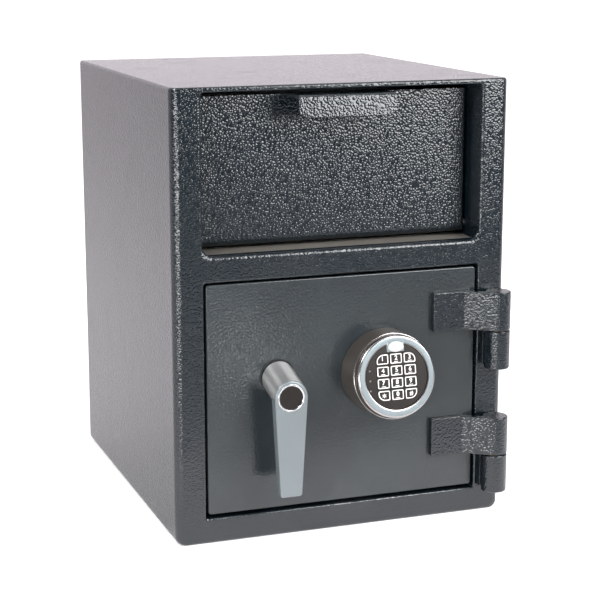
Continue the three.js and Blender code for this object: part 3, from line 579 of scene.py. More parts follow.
def make_wear_effect():
    """A mask of rubbed outer edges, broken up by noise."""
    tree, given, out = effect("edge_wear", {"Start": 0.54, "Full": 0.62, "Breaks": 160.0}, ("Mask",))
    point = tree.nodes.new("ShaderNodeNewGeometry").outputs["Pointiness"]
    start, full = given["Start"], given["Full"]
    edge = node(tree, "ShaderNodeMapRange", None, Value=point, From_Min=start, From_Max=full)
    place = object_place(tree)
    breaks = node(tree, "ShaderNodeTexNoise", None, Vector=place, Scale=given["Breaks"], Detail=4.0)
    patchy = ramp(tree, breaks.outputs["Fac"], 0.38, 0.62)
    tree.links.new(math_node(tree, "MULTIPLY", edge.outputs["Result"], patchy, clamp=True), out["Mask"])
    return tree


def make_dust_effect():
    """A mask of settled dust on what faces up, and of faint handling marks elsewhere."""
    tree, given, out = effect("dust_and_marks", {"Dust": 0.3, "Marks": 0.3}, ("Mask",))
    coordinates = tree.nodes.new("ShaderNodeTexCoord").outputs
    facing = node(tree, "ShaderNodeSeparateXYZ", None, Vector=coordinates["Normal"])
    level = ramp(tree, facing.outputs["Z"], 0.6, 1.0)
    grains = node(tree, "ShaderNodeTexNoise", None, Vector=coordinates["Object"], Scale=2200.0, Detail=2.0)
    resting = math_node(tree, "MULTIPLY", level, ramp(tree, grains.outputs["Fac"], 0.4, 0.75))
    smear = node(tree, "ShaderNodeTexNoise", None, Vector=coordinates["Object"], Scale=18.0, Detail=6.0)
    marks = ramp(tree, smear.outputs["Fac"], 0.52, 0.75)
    dust = math_node(tree, "MULTIPLY", resting, given["Dust"])
    smears = math_node(tree, "MULTIPLY", marks, given["Marks"])
    tree.links.new(math_node(tree, "ADD", dust, smears, True), out["Mask"])
    return tree


EFFECTS = {
    "hammer": make_hammer_effect(),
    "peel": make_peel_effect(),
    "brushed": make_brushed_effect(),
    "wear": make_wear_effect(),
    "dust": make_dust_effect(),
}


def use_effect(tree, name, **values):
    """One of the shared effects placed in a material with its own values."""
    placed = tree.nodes.new("ShaderNodeGroup")
    placed.node_tree = EFFECTS[name]
    for label, value in values.items():
        placed.inputs[label.replace("_", " ")].default_value = value
    return placed.outputs


def shade(color, factor):
    """The colour made lighter or darker, as four values."""
    return (*(min(1.0, part * factor) for part in color[:3]), 1.0)


def make_finish(name, slot, color, roughness, metallic=0.0, relief=("peel", {}, 0.1), depth=0.0002, **more):
    """A finish: colour and gloss that vary with its relief, dust and marks, and rubbed edges."""
    paint = bpy.data.materials.new(name)
    paint.use_nodes = True
    if slot:
        paint["slot"] = slot
    tree = paint.node_tree
    surface = tree.nodes["Principled BSDF"]
    kind, sizes, strength = relief
    texture = use_effect(tree, kind, **sizes)
    tone_and_valley_shade = texture["Tone_and_valley_shade" if kind == "hammer" else "Cloud"]
    height = texture["Height"]
    dust = use_effect(tree, "dust", Dust=more.get("dust", 0.25), Marks=more.get("marks", 0.25))
    wear = use_effect(tree, "wear", Start=more.get("wear_start", 0.54))
    # Colour runs from the darker low tone to the lighter high tone; with the hammered relief the darker end
    # falls in the valleys between blots, a painted shade.
    base = node(tree, "ShaderNodeMix", {"data_type": "RGBA"}, i0=ramp(tree, tone_and_valley_shade, 0.25, 0.75))
    base.inputs[6].default_value = shade(color, more.get("low_tone", 0.86))
    base.inputs[7].default_value = shade(color, more.get("high_tone", 1.14))
    rubbed = node(tree, "ShaderNodeMix", {"data_type": "RGBA"}, i6=base.outputs[2])
    rubbed.inputs[7].default_value = (*more.get("worn", shade(color, 1.6))[:3], 1.0)
    rub = math_node(tree, "MULTIPLY", wear["Mask"], more.get("wear", 0.3))
    tree.links.new(rub, rubbed.inputs[0])
    dusty = node(tree, "ShaderNodeMix", {"data_type": "RGBA"}, i6=rubbed.outputs[2])
    dusty.inputs[7].default_value = (0.24, 0.23, 0.22, 1.0)
    tree.links.new(math_node(tree, "MULTIPLY", dust["Mask"], more.get("dust_tint", 0.08)), dusty.inputs[0])
    tree.links.new(dusty.outputs[2], surface.inputs["Base Color"])
    rough = math_node(tree, "MULTIPLY", dust["Mask"], 0.18)
    uneven = ramp(tree, tone_and_valley_shade, 0.2, 0.8, roughness * 0.92, roughness * 1.08)
    rough = math_node(tree, "ADD", rough, uneven, True)
    tree.links.new(rough, surface.inputs["Roughness"])
    surface.inputs["Metallic"].default_value = metallic
    for label, value in more.get("surface", {}).items():
        surface.inputs[label].default_value = value
    bump = node(tree, "ShaderNodeBump", None, Strength=strength, Distance=depth, Height=height)
    tree.links.new(bump.outputs["Normal"], surface.inputs["Normal"])
    return paint


GRAPHITE = (0.0050, 0.0092, 0.0128)
DOOR_GREY = (0.0186, 0.0234, 0.0262)

hammer_paint = make_finish(
    "hammered_graphite",
    "hammertone_paint",
    GRAPHITE,
    0.095,
    relief=("hammer", {}, 0.9),
    depth=0.00034,
    surface={"IOR": 1.55},
)
fine_hammer_paint = make_finish(
    "hammered_graphite_fine",
    "hammertone_paint",
    GRAPHITE,
    0.12,
    relief=("hammer", {"Blots_per_metre": 470.0}, 0.9),
    depth=0.00024,
    surface={"IOR": 1.55},
)
door_paint = make_finish(
    "door_graphite",
    "door_paint",
    DOOR_GREY,
    0.09,
    relief=("peel", {}, 0.55),
    depth=0.0005,
)
# Lighter paint for the sill: painted light, standing in for the light from above that falls on the sill in
# the recess.
sill_painted_light = make_finish(
    "sill_painted_light",
    "hammertone_paint",
    (0.21, 0.197, 0.178),
    0.3,
    relief=("hammer", {"Blots_per_metre": 470.0}, 0.4),
    depth=0.0002,
    low_tone=0.7,
    high_tone=1.2,
)
inner_paint = make_finish(
    "inner_graphite",
    "inner_paint",
    (0.030, 0.034, 0.039),
    0.46,
    relief=("peel", {"Waves_per_metre": 700.0}, 0.25),
)
satin_silver = make_finish(
    "satin_silver",
    "satin_silver",
    (0.167, 0.191, 0.202),
    0.30,
    metallic=0.35,
    relief=("peel", {"Waves_per_metre": 2400.0}, 0.06),
    depth=0.0001,
    low_tone=0.95,
    high_tone=1.05,
    dust=0.1,
    marks=0.12,
)
bright_steel = make_finish(
    "bright_steel",
    "bright_steel",
    (0.50, 0.515, 0.53),
    0.3,
    metallic=1.0,
    relief=("brushed", {"Across_X": 60.0, "Across_Z": 2600.0}, 0.08),
    depth=0.0001,
    low_tone=0.93,
    high_tone=1.07,
    marks=0.2,
)
cast_silver = make_finish(
    "cast_silver",
    "satin_silver",
    (0.76, 0.76, 0.75),
    0.38,
    metallic=0.94,
    relief=("peel", {"Waves_per_metre": 1500.0}, 0.35),
    depth=0.0001,
    low_tone=0.82,
    high_tone=1.15,
    marks=0.3,
    surface={"Coat Weight": 0.6, "Coat Roughness": 0.12},
)
ring_silver = make_finish(
    "ring_silver",
    "satin_silver",
    (0.270, 0.315, 0.335),
    0.22,
    metallic=0.5,
    relief=("peel", {"Waves_per_metre": 2400.0}, 0.05),
    depth=0.0001,
    low_tone=0.95,
    high_tone=1.05,
    dust=0.1,
    marks=0.12,
)
ring_edge = make_finish(
    "ring_edge",
    "satin_silver",
    (0.34, 0.33, 0.32),
    0.2,
    metallic=1.0,
    relief=("peel", {"Waves_per_metre": 1800.0}, 0.03),
    depth=0.0001,
    low_tone=0.97,
    high_tone=1.03,
    dust=0.0,
    marks=0.1,
)
polished_edge = make_finish(
    "polished_edge",
    "satin_silver",
    (0.60, 0.61, 0.62),
    0.26,
    metallic=1.0,
    relief=("peel", {"Waves_per_metre": 1800.0}, 0.03),
    depth=0.0001,
    low_tone=0.97,
    high_tone=1.03,
    dust=0.0,
    marks=0.1,
)
zinc_plate = make_finish(
    "zinc_plate",
    "zinc_plate",
    (0.46, 0.45, 0.38),
    0.36,
    metallic=0.95,
    relief=("peel", {"Waves_per_metre": 900.0}, 0.1),
    low_tone=0.85,
    high_tone=1.12,
    marks=0.35,
)
# Brass made dark brown, far below its own colour, so that the hinge washers show as the thin dark line
# between the knuckles.
darkened_brass = make_finish(
    "darkened_brass",
    "brass",
    (0.10, 0.075, 0.045),
    0.5,
    metallic=0.8,
    relief=("brushed", {}, 0.08),
    depth=0.0001,
)
brass_metal = make_finish(
    "brass",
    "brass",
    (0.50, 0.34, 0.13),
    0.3,
    metallic=1.0,
    relief=("brushed", {}, 0.08),
    depth=0.0001,
)
dark_plastic = make_finish(
    "dark_plastic",
    "dark_plastic",
    (0.007, 0.0045, 0.0034),
    0.4,
    relief=("peel", {"Waves_per_metre": 2600.0}, 0.15),
    depth=0.0001,
    dust=0.05,
    marks=0.05,
    surface={"IOR": 1.38},
)
key_rubber = make_finish(
    "key_rubber",
    "dark_plastic",
    (0.007, 0.005, 0.004),
    0.45,
    relief=("peel", {"Waves_per_metre": 3000.0}, 0.15),
    depth=0.0001,
    dust=0.05,
    marks=0.05,
    surface={"IOR": 1.38},
)
housing_plastic = make_finish(
    "housing_plastic",
    "housing_plastic",
    (0.042, 0.037, 0.033),
    0.36,
    relief=("peel", {"Waves_per_metre": 1600.0}, 0.12),
    depth=0.0001,
)
nylon = make_finish(
    "black_nylon",
    "nylon",
    (0.006, 0.006, 0.007),
    0.45,
    relief=("peel", {"Waves_per_metre": 1500.0}, 0.1),
    dust=0.05,
    marks=0.05,
    surface={"IOR": 1.4},
)
pearl = make_finish(
    "pearl_plastic",
    "pearl",
    (0.42, 0.425, 0.41),
    0.22,
    relief=("peel", {"Waves_per_metre": 900.0}, 0.04),
    depth=0.0001,
    low_tone=0.97,
    high_tone=1.02,
    dust=0.0,
)
key_print = make_finish(
    "key_print",
    None,
    (0.62, 0.60, 0.57),
    0.5,
    relief=("peel", {"Waves_per_metre": 3000.0}, 0.05),
    depth=0.0001,
    low_tone=0.95,
    high_tone=1.04,
)
black_rubber = make_finish(
    "black_rubber",
    "black_rubber",
    (0.012, 0.012, 0.012),
    0.8,
    relief=("peel", {"Waves_per_metre": 1100.0}, 0.3),
)
mat_felt = make_finish(
    "mat_felt",
    "mat_felt",
    (0.042, 0.046, 0.050),
    0.92,
    relief=("peel", {"Waves_per_metre": 1900.0}, 0.9),
    depth=0.0008,
    low_tone=0.7,
    high_tone=1.35,
    dust=0.3,
    surface={"Sheen Weight": 0.15, "Sheen Roughness": 0.6},
)
groove_black = make_finish(
    "groove_black",
    "dark_plastic",
    (0.03, 0.022, 0.018),
    0.4,
    relief=("peel", {"Waves_per_metre": 1500.0}, 0.05),
    depth=0.0001,
)
lamp_lens = make_finish(
    "lamp_lens",
    "pearl",
    (0.16, 0.15, 0.14),
    0.25,
    relief=("peel", {"Waves_per_metre": 900.0}, 0.03),
    depth=0.0001,
)


# Case
def edge_inset(radius, depth):
    """How far a round edge stands in from its flat side, at a depth below its end face."""
    return 0.0 if depth >= radius else radius - math.sqrt(radius**2 - (radius - depth) ** 2)


def edge_depths(radii, steps=8):
    """The depths at which a loft with round edges of these radii takes its rings."""
    shares = [1 - math.cos(math.pi / 2 * k / steps) for k in range(steps + 1)]
    return sorted({round(radius * share, 4) for radius in radii for share in shares})


def front_ring(half_x, low, high, low_radius, high_radius, y, steps=6):
    """A rounded rectangle across the front, with as many points whatever its radii."""
    ring = []
    corners = (
        (half_x - low_radius, low + low_radius, low_radius, -90),
        (half_x - high_radius, high - high_radius, high_radius, 0),
        (high_radius - half_x, high - high_radius, high_radius, 90),
        (low_radius - half_x, low + low_radius, low_radius, 180),
    )
    for x, z, radius, start in corners:
        for k in range(steps + 1):
            turn = math.radians(start + 90 * k / steps)
            ring.append(Vector((x + radius * math.cos(turn), y, z + radius * math.sin(turn))))
    return ring


def box(x0, x1, y0, y1, z0, z1):
    """A plain block."""
    return cut_sheet([rectangle(x0, x1, y0, y1)], z0, z1)


def opening_cutter(low, high, low_radius, high_radius, mouth, head_mouth, back):
    """The space of one front opening, its mouth flared round and its corners sharper further in."""
    def ring_at(y, depth, corner=low_radius):
        inset = edge_inset(mouth, depth)
        top = high + edge_inset(head_mouth, depth)
        return front_ring(OPEN_X + inset, low - inset, top, corner, high_radius, y)

    rings = [ring_at(FRONT_Y - WALL, 0)]
    rings += [ring_at(FRONT_Y + depth, depth) for depth in edge_depths((mouth, head_mouth))]
    for k in range(1, 7):
        corner = low_radius + (DEEP_CORNER - low_radius) * k / 6
        rings.append(ring_at(FRONT_Y + mouth + (SILL_CORNER_DEPTH - mouth) * k / 6, mouth, corner))
    rings.append(ring_at(back + WALL, mouth, DEEP_CORNER))
    return lofted(rings)


def make_shell():
    """The folded body with its front frame and the flanges round both openings."""
    rings = []
    for depth in edge_depths((SIDE_BEND, TOP_BEND, BOTTOM_BEND)):
        rings.append(front_ring(
            HALF_WIDTH - edge_inset(SIDE_BEND, depth),
            edge_inset(BOTTOM_BEND, depth),
            BODY_HEIGHT - edge_inset(TOP_BEND, depth),
            LOWER_EDGE,
            UPPER_EDGE,
            FRONT_Y + depth,
        ))
    rings.append(front_ring(HALF_WIDTH, 0, BODY_HEIGHT, LOWER_EDGE, UPPER_EDGE, BACK_Y))
    outside = OPEN_X + FLANGE
    start = FRONT_Y + WALL / 2
    door_low, door_high = DOOR_OPENING
    frames = [
        box(-outside, outside, start, DOOR_FLANGE_BACK, door_low - FLANGE, door_high + FLANGE),
        box(-outside, outside, start, HOPPER_FLANGE_BACK, SILL_Z - FLANGE, INNER_TOP + WALL / 2),
    ]
    cavity = box(-INNER_X, INNER_X, FRONT_Y + WALL, BACK_Y + WALL, WALL, INNER_TOP)
    holes = [
        opening_cutter(
            door_low, door_high, DEEP_CORNER, DEEP_CORNER, DOOR_MOUTH, DOOR_MOUTH, DOOR_FLANGE_BACK,
        ),
        opening_cutter(
            SILL_Z, INNER_TOP, SILL_CORNER, HEAD_CORNER, HOPPER_MOUTH, TOP_BEND / 2, HOPPER_FLANGE_BACK,
        ),
        rounded_rod(BUSH_HOLE, 2 * INNER_X, 0.01, along("X", (-INNER_X, PIVOT_Y, PIVOT_Z))),
    ]
    holes += [rounded_rod(ANCHOR_HOLE, 3 * WALL, 0.01, along("Z", (x, 0, -WALL))) for x in ANCHOR_X]
    hollow = carved(lofted(rings), [cavity])
    framed = carved(hollow, frames, "UNION")
    return carved(framed, holes)


def weld_tree():
    """Ripples of a weld bead, laid along a path and pressed flat on their seam."""
    tree = bpy.data.node_groups.new("weld_bead", "GeometryNodeTree")
    tree.interface.new_socket("Path", in_out="INPUT", socket_type="NodeSocketGeometry")
    for label, value in {"Pitch": 1.8, "Bead": 2.2, "Rise": 0.6}.items():
        socket = tree.interface.new_socket(label, in_out="INPUT", socket_type="NodeSocketFloat")
        socket.default_value = value
    tree.interface.new_socket("Finish", in_out="INPUT", socket_type="NodeSocketMaterial")
    tree.interface.new_socket("Bead line", in_out="OUTPUT", socket_type="NodeSocketGeometry")
    given = tree.nodes.new("NodeGroupInput").outputs
    line = node(tree, "GeometryNodeMeshToCurve", None, Mesh=given["Path"])
    by_length = {"mode": "LENGTH"}
    even = node(tree, "GeometryNodeCurveToPoints", by_length, Curve=line.outputs[0], Length=given["Pitch"])
    bead = node(tree, "GeometryNodeMeshIcoSphere", None, Radius=given["Bead"], Subdivisions=3)
    size = node(tree, "ShaderNodeCombineXYZ", None, X=given["Rise"], Y=1.0, Z=0.8)
    uneven = node(tree, "FunctionNodeRandomValue", {"data_type": "FLOAT"})
    uneven.inputs["Seed"].default_value = 7
    for i, value in ((2, 0.86), (3, 1.1)):
        uneven.inputs[i].default_value = value
    scaled = {"operation": "SCALE"}
    sizes = node(tree, "ShaderNodeVectorMath", scaled, Vector=size.outputs[0], Scale=uneven.outputs[1])
    laid = node(
        tree,
        "GeometryNodeInstanceOnPoints",
        None,
        Points=even.outputs["Points"],
        Instance=bead.outputs["Mesh"],
        Rotation=even.outputs["Rotation"],
        Scale=sizes.outputs[0],
    )
    real = node(tree, "GeometryNodeRealizeInstances", None, Geometry=laid.outputs[0])
    done = node(tree, "GeometryNodeSetMaterial", None, Geometry=real.outputs[0], Material=given["Finish"])
    tree.links.new(done.outputs[0], tree.nodes.new("NodeGroupOutput").inputs[0])
    return tree


WELD = weld_tree()


def weld_bead(points, **sizes):
    """The mesh of a weld bead along these points."""
    bm = bmesh.new()
    row = [bm.verts.new(point) for point in points]
    for low, high in zip(row, row[1:]):
        bm.edges.new((low, high))
    seam = holder_of(bm, "seam")
    bead = seam.modifiers.new("bead", "NODES")
    bead.node_group = WELD
    for item in WELD.interface.items_tree:
        if item.in_out == "INPUT" and item.name in sizes:
            bead[item.identifier] = sizes[item.name]
        if item.name == "Finish":
            bead[item.identifier] = hammer_paint
    return taken_out(seam)


def hexagon(radius, low, high, x, y):
    """A bolt head with a turned chamfer on its corners."""
    head = cut_sheet([circle(x, y, radius / math.cos(math.pi / 6), 6)], low, high)
    wide, narrow = radius * 1.2, radius * 0.94
    profile = [(0, low - 1), (wide, low - 1), (wide, high - 1.6), (narrow, high), (0, high)]
    cone = turned(profile, Matrix.Translation((x, y, 0)), 96)
    return carved(head, [cone], "INTERSECT")


def on_sill(middle):
    """Whether a face of the shell lies on the sill under the hopper, which gets a lighter paint: painted
    light, standing in for the light from above that falls on the sill.
    """
    deep = FRONT_Y + SILL_CORNER_DEPTH < middle.y < HOPPER_FLANGE_BACK
    return deep and abs(middle.z - SILL_Z) < 0.5 and abs(middle.x) < OPEN_X - 2


def back_seams():
    """Short weld beads along the four edges of the back panel."""
    y = BACK_PANEL + WALL - 0.6
    seams = []
    for x in (-INNER_X + 1.2, INNER_X - 1.2):
        for low in (30.0, 200.0, 370.0):
            seams.append(weld_bead([(x, y, low), (x, y, low + BACK_WELD)], Bead=1.3))
    for z in (WALL + 1.2, INNER_TOP - 1.2):
        for low in (-130.0, 80.0):
            seams.append(weld_bead([(low, y, z), (low + BACK_WELD, y, z)], Bead=1.3))
    return seams


def make_case():
    """The shell, back panel and mat, the anchor bolts, and the bushes and stops of the hopper."""
    # The sill's faces take the lighter paint, a painted light on the sill.
    shell = painted(make_shell(), lambda middle: int(on_sill(middle)))
    set_down("shell", shell, [fine_hammer_paint, sill_painted_light], "case", "body_shell", crease=30)
    outline = rectangle(-INNER_X, INNER_X, WALL, INNER_TOP, 1.0)
    panel = cut_sheet([outline], BACK_PANEL, BACK_PANEL + WALL, "Y", 0.6)
    set_down("back_plate", panel, fine_hammer_paint, "case", "back_panel")
    set_down("back_welds", joined(*back_seams()), hammer_paint, "case", crease=60)
    holes = [circle(x, 0, ANCHOR_HOLE) for x in ANCHOR_X]
    mat = cut_sheet([rectangle(*MAT_SPAN, 3.0), *holes], WALL, MAT_TOP, "Z", 0.8)
    set_down("floor_mat", mat, mat_felt, "case", "floor_mat")
    for label, x in zip(("left", "right"), ANCHOR_X):
        make_anchor_bolt(label, x)
    for label, side in (("left", -1), ("right", 1)):
        make_hopper_rests(label, side)


def make_anchor_bolt(label, x):
    """A hexagon bolt through the floor, with its washer on the mat."""
    washer_top = MAT_TOP + ANCHOR_WASHER[1]
    rod = rounded_rod(ANCHOR_SHANK, 10.0, 0.5, along("Z", (x, 0, 0.5)))
    washer = cut_sheet([circle(x, 0, ANCHOR_WASHER[0], 64)], MAT_TOP, washer_top, "Z", 0.4)
    head_radius, head_height = ANCHOR_HEAD
    head = hexagon(head_radius * math.cos(math.pi / 6), washer_top, washer_top + head_height, x, 0)
    bolt = joined(rod, washer, head)
    set_down(f"anchor_bolt_{label}", bolt, zinc_plate, "case", f"anchor_bolt_{label}")


def make_hopper_rests(label, side):
    """The flanged bush of the hopper's pin, and the rubber stop on which the tray lies."""
    outward = "-X" if side < 0 else "X"
    bush = turned(HOPPER_BUSH, along(outward, (side * OPEN_X, PIVOT_Y, PIVOT_Z)), 64, hollow=True)
    set_down(f"hopper_bush_{label}", bush, nylon, "case", f"hopper_bush_{label}")
    low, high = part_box(f"hopper_stop_{label}")
    middle = (low + high) / 2 / MM
    place = along(outward, (side * (INNER_X - STOP_LENGTH), middle.y, middle.z))
    stop = rounded_rod(STOP_RADIUS, STOP_LENGTH, 1.2, place)
    set_down(f"hopper_stop_{label}", stop, black_rubber, "case", f"hopper_stop_{label}")


def make_baffle():
    """The plate behind the hopper, its lower edge cut into teeth."""
    low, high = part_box("rear_baffle")
    low, high = low / MM, high / MM
    teeth = 16
    pitch = (high.x - low.x) / teeth
    edge = [(low.x, high.z)]
    for k in range(teeth):
        edge += [(low.x + k * pitch, low.z + 9.0), (low.x + (k + 0.5) * pitch, low.z, 0.8)]
    edge += [(high.x, low.z + 9.0), (high.x, high.z)]
    baffle = cut_sheet([arc_corners(edge, 3)], low.y, high.y, "Y", 0.4)
    set_down("rear_baffle", baffle, inner_paint, "case", "rear_baffle")


# Hopper
def folded_layer(inset, edge_bend, bottom_bend):
    """The folded face panel's outer or inner skin, filled."""
    x, y, z = HOPPER_X - inset, HOPPER_FRONT + inset, HOPPER_BOTTOM + inset
    top = HOPPER_TOP + inset
    back = HOPPER_FRONT + HOPPER_RETURN + inset
    section = arc_corners([(y, top), (y, z, bottom_bend), (back, z), (back, top)], 10)
    plan = arc_corners([(-x, y, edge_bend), (x, y, edge_bend), (x, back), (-x, back)], 8)
    return carved(cut_sheet([section], -x, x, "X"), [cut_sheet([plan], z, top, "Z")], "INTERSECT")


def make_hopper_face():
    """The folded panel, hollow inside, with the channel of its pivot."""
    inner = folded_layer(HOPPER_SHEET, HOPPER_EDGE_BEND - HOPPER_SHEET, HOPPER_BOTTOM_BEND - HOPPER_SHEET)
    pivot = rounded_rod(4.5, 2 * OPEN_X, 0.01, along("X", (-OPEN_X, PIVOT_Y, PIVOT_Z)))
    face = carved(folded_layer(0, HOPPER_EDGE_BEND, HOPPER_BOTTOM_BEND), [inner, pivot])
    set_down("hopper_face", face, hammer_paint, "hopper", "hopper_face", crease=28)


def make_hopper_pull():
    """The L-shaped hood on the face's top edge, its lip's lower corners cut away."""
    section = arc_corners([
        (HOPPER_FRONT, PULL_TOP),
        (PULL_FRONT + PULL_LEAN, PULL_TOP, PULL_SHEET),
        (PULL_FRONT, PULL_LOW),
        (PULL_FRONT + PULL_SHEET, PULL_LOW),
        (PULL_FRONT + PULL_LEAN + PULL_SHEET, PULL_TOP - PULL_SHEET, 0.8),
        (HOPPER_FRONT, PULL_TOP - PULL_SHEET),
    ], 8)
    hood = cut_sheet([section], -PULL_HALF, PULL_HALF, "X")
    lip = arc_corners([
        (-PULL_HALF, PULL_TOP + 5),
        (-PULL_HALF, PULL_LOW + 4.5, 3.0),
        (-PULL_HALF + 5, PULL_LOW + 1.1, 4.0),
        (-PULL_HALF + 12, PULL_LOW, 6.0),
        (PULL_HALF - 12, PULL_LOW, 6.0),
        (PULL_HALF - 5, PULL_LOW + 1.1, 4.0),
        (PULL_HALF, PULL_LOW + 4.5, 3.0),
        (PULL_HALF, PULL_TOP + 5),
    ], 5)
    pull = carved(hood, [cut_sheet([lip], PULL_FRONT - 5, HOPPER_FRONT + 5, "Y")], "INTERSECT")
    set_down("hopper_pull", pull, hammer_paint, "hopper", "hopper_pull", edge=0.5)


def tray_point(reach, under):
    """A point of the tray's section, at this reach from the pivot and this far under its top."""
    out = Vector((math.sin(TRAY_ANGLE), math.cos(TRAY_ANGLE)))
    return Vector((PIVOT_Y, PIVOT_Z)) + out * reach + Vector((out.y, -out.x)) * under


def side_outline():
    """The sector of a side plate: tall in front, one step lower behind, and cut clear of the face's bends."""
    front = HOPPER_FRONT + HOPPER_EDGE_BEND
    nose = HOPPER_BOTTOM_BEND - HOPPER_SHEET - FIT
    lean = math.asin((PIVOT_Y - front) / SIDE_TALL_RADIUS)
    foot = math.pi / 2 - TRAY_ANGLE - TRAY_SHEET / SIDE_LOW_RADIUS
    loop = [Vector((front, PIVOT_Z - math.sqrt(nose**2 - (PIVOT_Y - front) ** 2)))]
    spans = (
        (SIDE_TALL_RADIUS, math.pi / 2 + lean, math.radians(50), 20),
        (SIDE_LOW_RADIUS, math.radians(32), foot, 24),
    )
    for radius, start, end, steps in spans:
        for k in range(steps + 1):
            turn = start + (end - start) * k / steps
            loop.append(Vector((PIVOT_Y + radius * math.cos(turn), PIVOT_Z + radius * math.sin(turn))))
    loop.append(Vector((HOPPER_FRONT + HOPPER_RETURN + FIT, PIVOT_Z - nose)))
    loop.append(Vector((PIVOT_Y, PIVOT_Z - nose)))
    return loop


def make_hopper():
    """The tilting box: face, pull, tray, and a side plate with its pin at each end."""
    make_hopper_face()
    make_hopper_pull()
    start, end = TRAY_SPAN
    corners = ((start, 0), (end, 0), (end, TRAY_SHEET), (start, TRAY_SHEET))
    section = [tray_point(reach, under) for reach, under in corners]
    tray = cut_sheet([section], -SIDE_INNER_X, SIDE_INNER_X, "X")
    set_down("hopper_tray", tray, inner_paint, "hopper", "hopper_tray", edge=0.5)
    for label, side in (("left", -1), ("right", 1)):
        span = sorted((side * SIDE_INNER_X, side * SIDE_OUTER_X))
        plate = cut_sheet([side_outline()], *span, "X", 0.3)
        set_down(f"hopper_side_{label}", plate, inner_paint, "hopper", f"hopper_side_{label}")
        place = along("-X" if side < 0 else "X", (side * SIDE_OUTER_X, PIVOT_Y, PIVOT_Z))
        pin = rounded_rod(4.0, 11.3, 0.8, place)
        set_down(f"hopper_pin_{label}", pin, bright_steel, "hopper", f"hopper_pin_{label}")


# Door
def make_door():
    """The door plate with its round edge and the two holes behind the lever and the keypad."""
    lead_x, _, lead_z = LEAD_PATH[0]
    holes = [circle(LEVER_X, LOCK_Z, 10.3, 64), circle(lead_x, lead_z, 5.0, 32)]
    rings = []
    for depth in edge_depths((DOOR_EDGE,), 5):
        inset = edge_inset(DOOR_EDGE, depth)
        low, high = DOOR_BOTTOM + inset, DOOR_TOP - inset
        rings.append(front_ring(DOOR_X - inset, low, high, DOOR_CORNER, DOOR_CORNER, DOOR_FRONT + depth))
    rings.append(front_ring(DOOR_X, DOOR_BOTTOM, DOOR_TOP, DOOR_CORNER, DOOR_CORNER, DOOR_BACK))
    plate = carved(lofted(rings), [cut_sheet([hole], DOOR_FRONT - 2, DOOR_BACK + 2, "Y") for hole in holes])
    set_down("door_plate", plate, door_paint, "door", "door_plate", crease=30)


def make_pan():
    """The folded cover of the boltwork, open towards the door plate."""
    outside = cut_sheet([rectangle(-PAN_X, PAN_X, PAN_LOW, PAN_HIGH, 1.2, 5)], DOOR_BACK, PAN_BACK, "Y")
    inset = PAN_X - PAN_SHEET
    inside = cut_sheet(
        [rectangle(-inset, inset, PAN_LOW + PAN_SHEET, PAN_HIGH - PAN_SHEET, 0.6, 4)],
        DOOR_BACK - 1,
        PAN_BACK - PAN_SHEET,
        "Y",
    )
    bolts = [
        rounded_rod(BOLT_RADIUS + 0.5, 6, 0.01, along("X", (-PAN_X - 2, BOLT_Y, z)))
        for z in BOLT_HEIGHTS.values()
    ]
    set_down("door_pan", carved(outside, [inside, *bolts]), inner_paint, "door", "door_pan", edge=0.5)


def make_dead_bar():
    """The fixed bar that holds the hinge side of the door."""
    low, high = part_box("dead_bar")
    low, high = low / MM, high / MM
    bar = box(low.x, high.x, low.y, high.y, low.z, high.z)
    set_down("dead_bar", bar, bright_steel, "door", "dead_bar", edge=1.0)


# Hinges
def leaf_section():
    """A leaf seen from above: flat on the door, then cranked out to touch its knuckle."""
    bend = Vector((LEAF_BEND, DOOR_FRONT - LEAF_THICKNESS))
    away = bend - HINGE_AXIS
    turn = math.atan2(away.y, away.x) + math.acos(KNUCKLE_RADIUS / away.length)
    outward = Vector((math.cos(turn), math.sin(turn)))
    tangent = HINGE_AXIS + outward * KNUCKLE_RADIUS
    inside = HINGE_AXIS + outward * (KNUCKLE_RADIUS - LEAF_THICKNESS)
    path = Vector((-outward.y, outward.x))
    heel = inside + path * ((DOOR_FRONT - inside.y) / path.y)
    return arc_corners([
        (LEAF_START, DOOR_FRONT),
        (LEAF_START, bend.y, 1.5),
        (bend.x, bend.y, LEAF_THICKNESS),
        tangent,
        inside,
        (heel.x, heel.y, LEAF_THICKNESS / 2),
    ], 8)


def knuckle(low, high, bore_low, bore_high):
    """One barrel of a hinge with round ends and the bore for its pin."""
    x, y = HINGE_AXIS
    barrel = rounded_rod(KNUCKLE_RADIUS, high - low, 1.2, Matrix.Translation((x, y, low)), 64)
    wall = HINGE_PIN_RADIUS + FIT
    profile = [(0, bore_low), (wall, bore_low), (wall, bore_high), (0, bore_high)]
    bore = turned(profile, Matrix.Translation((x, y, 0)))
    return barrel, bore


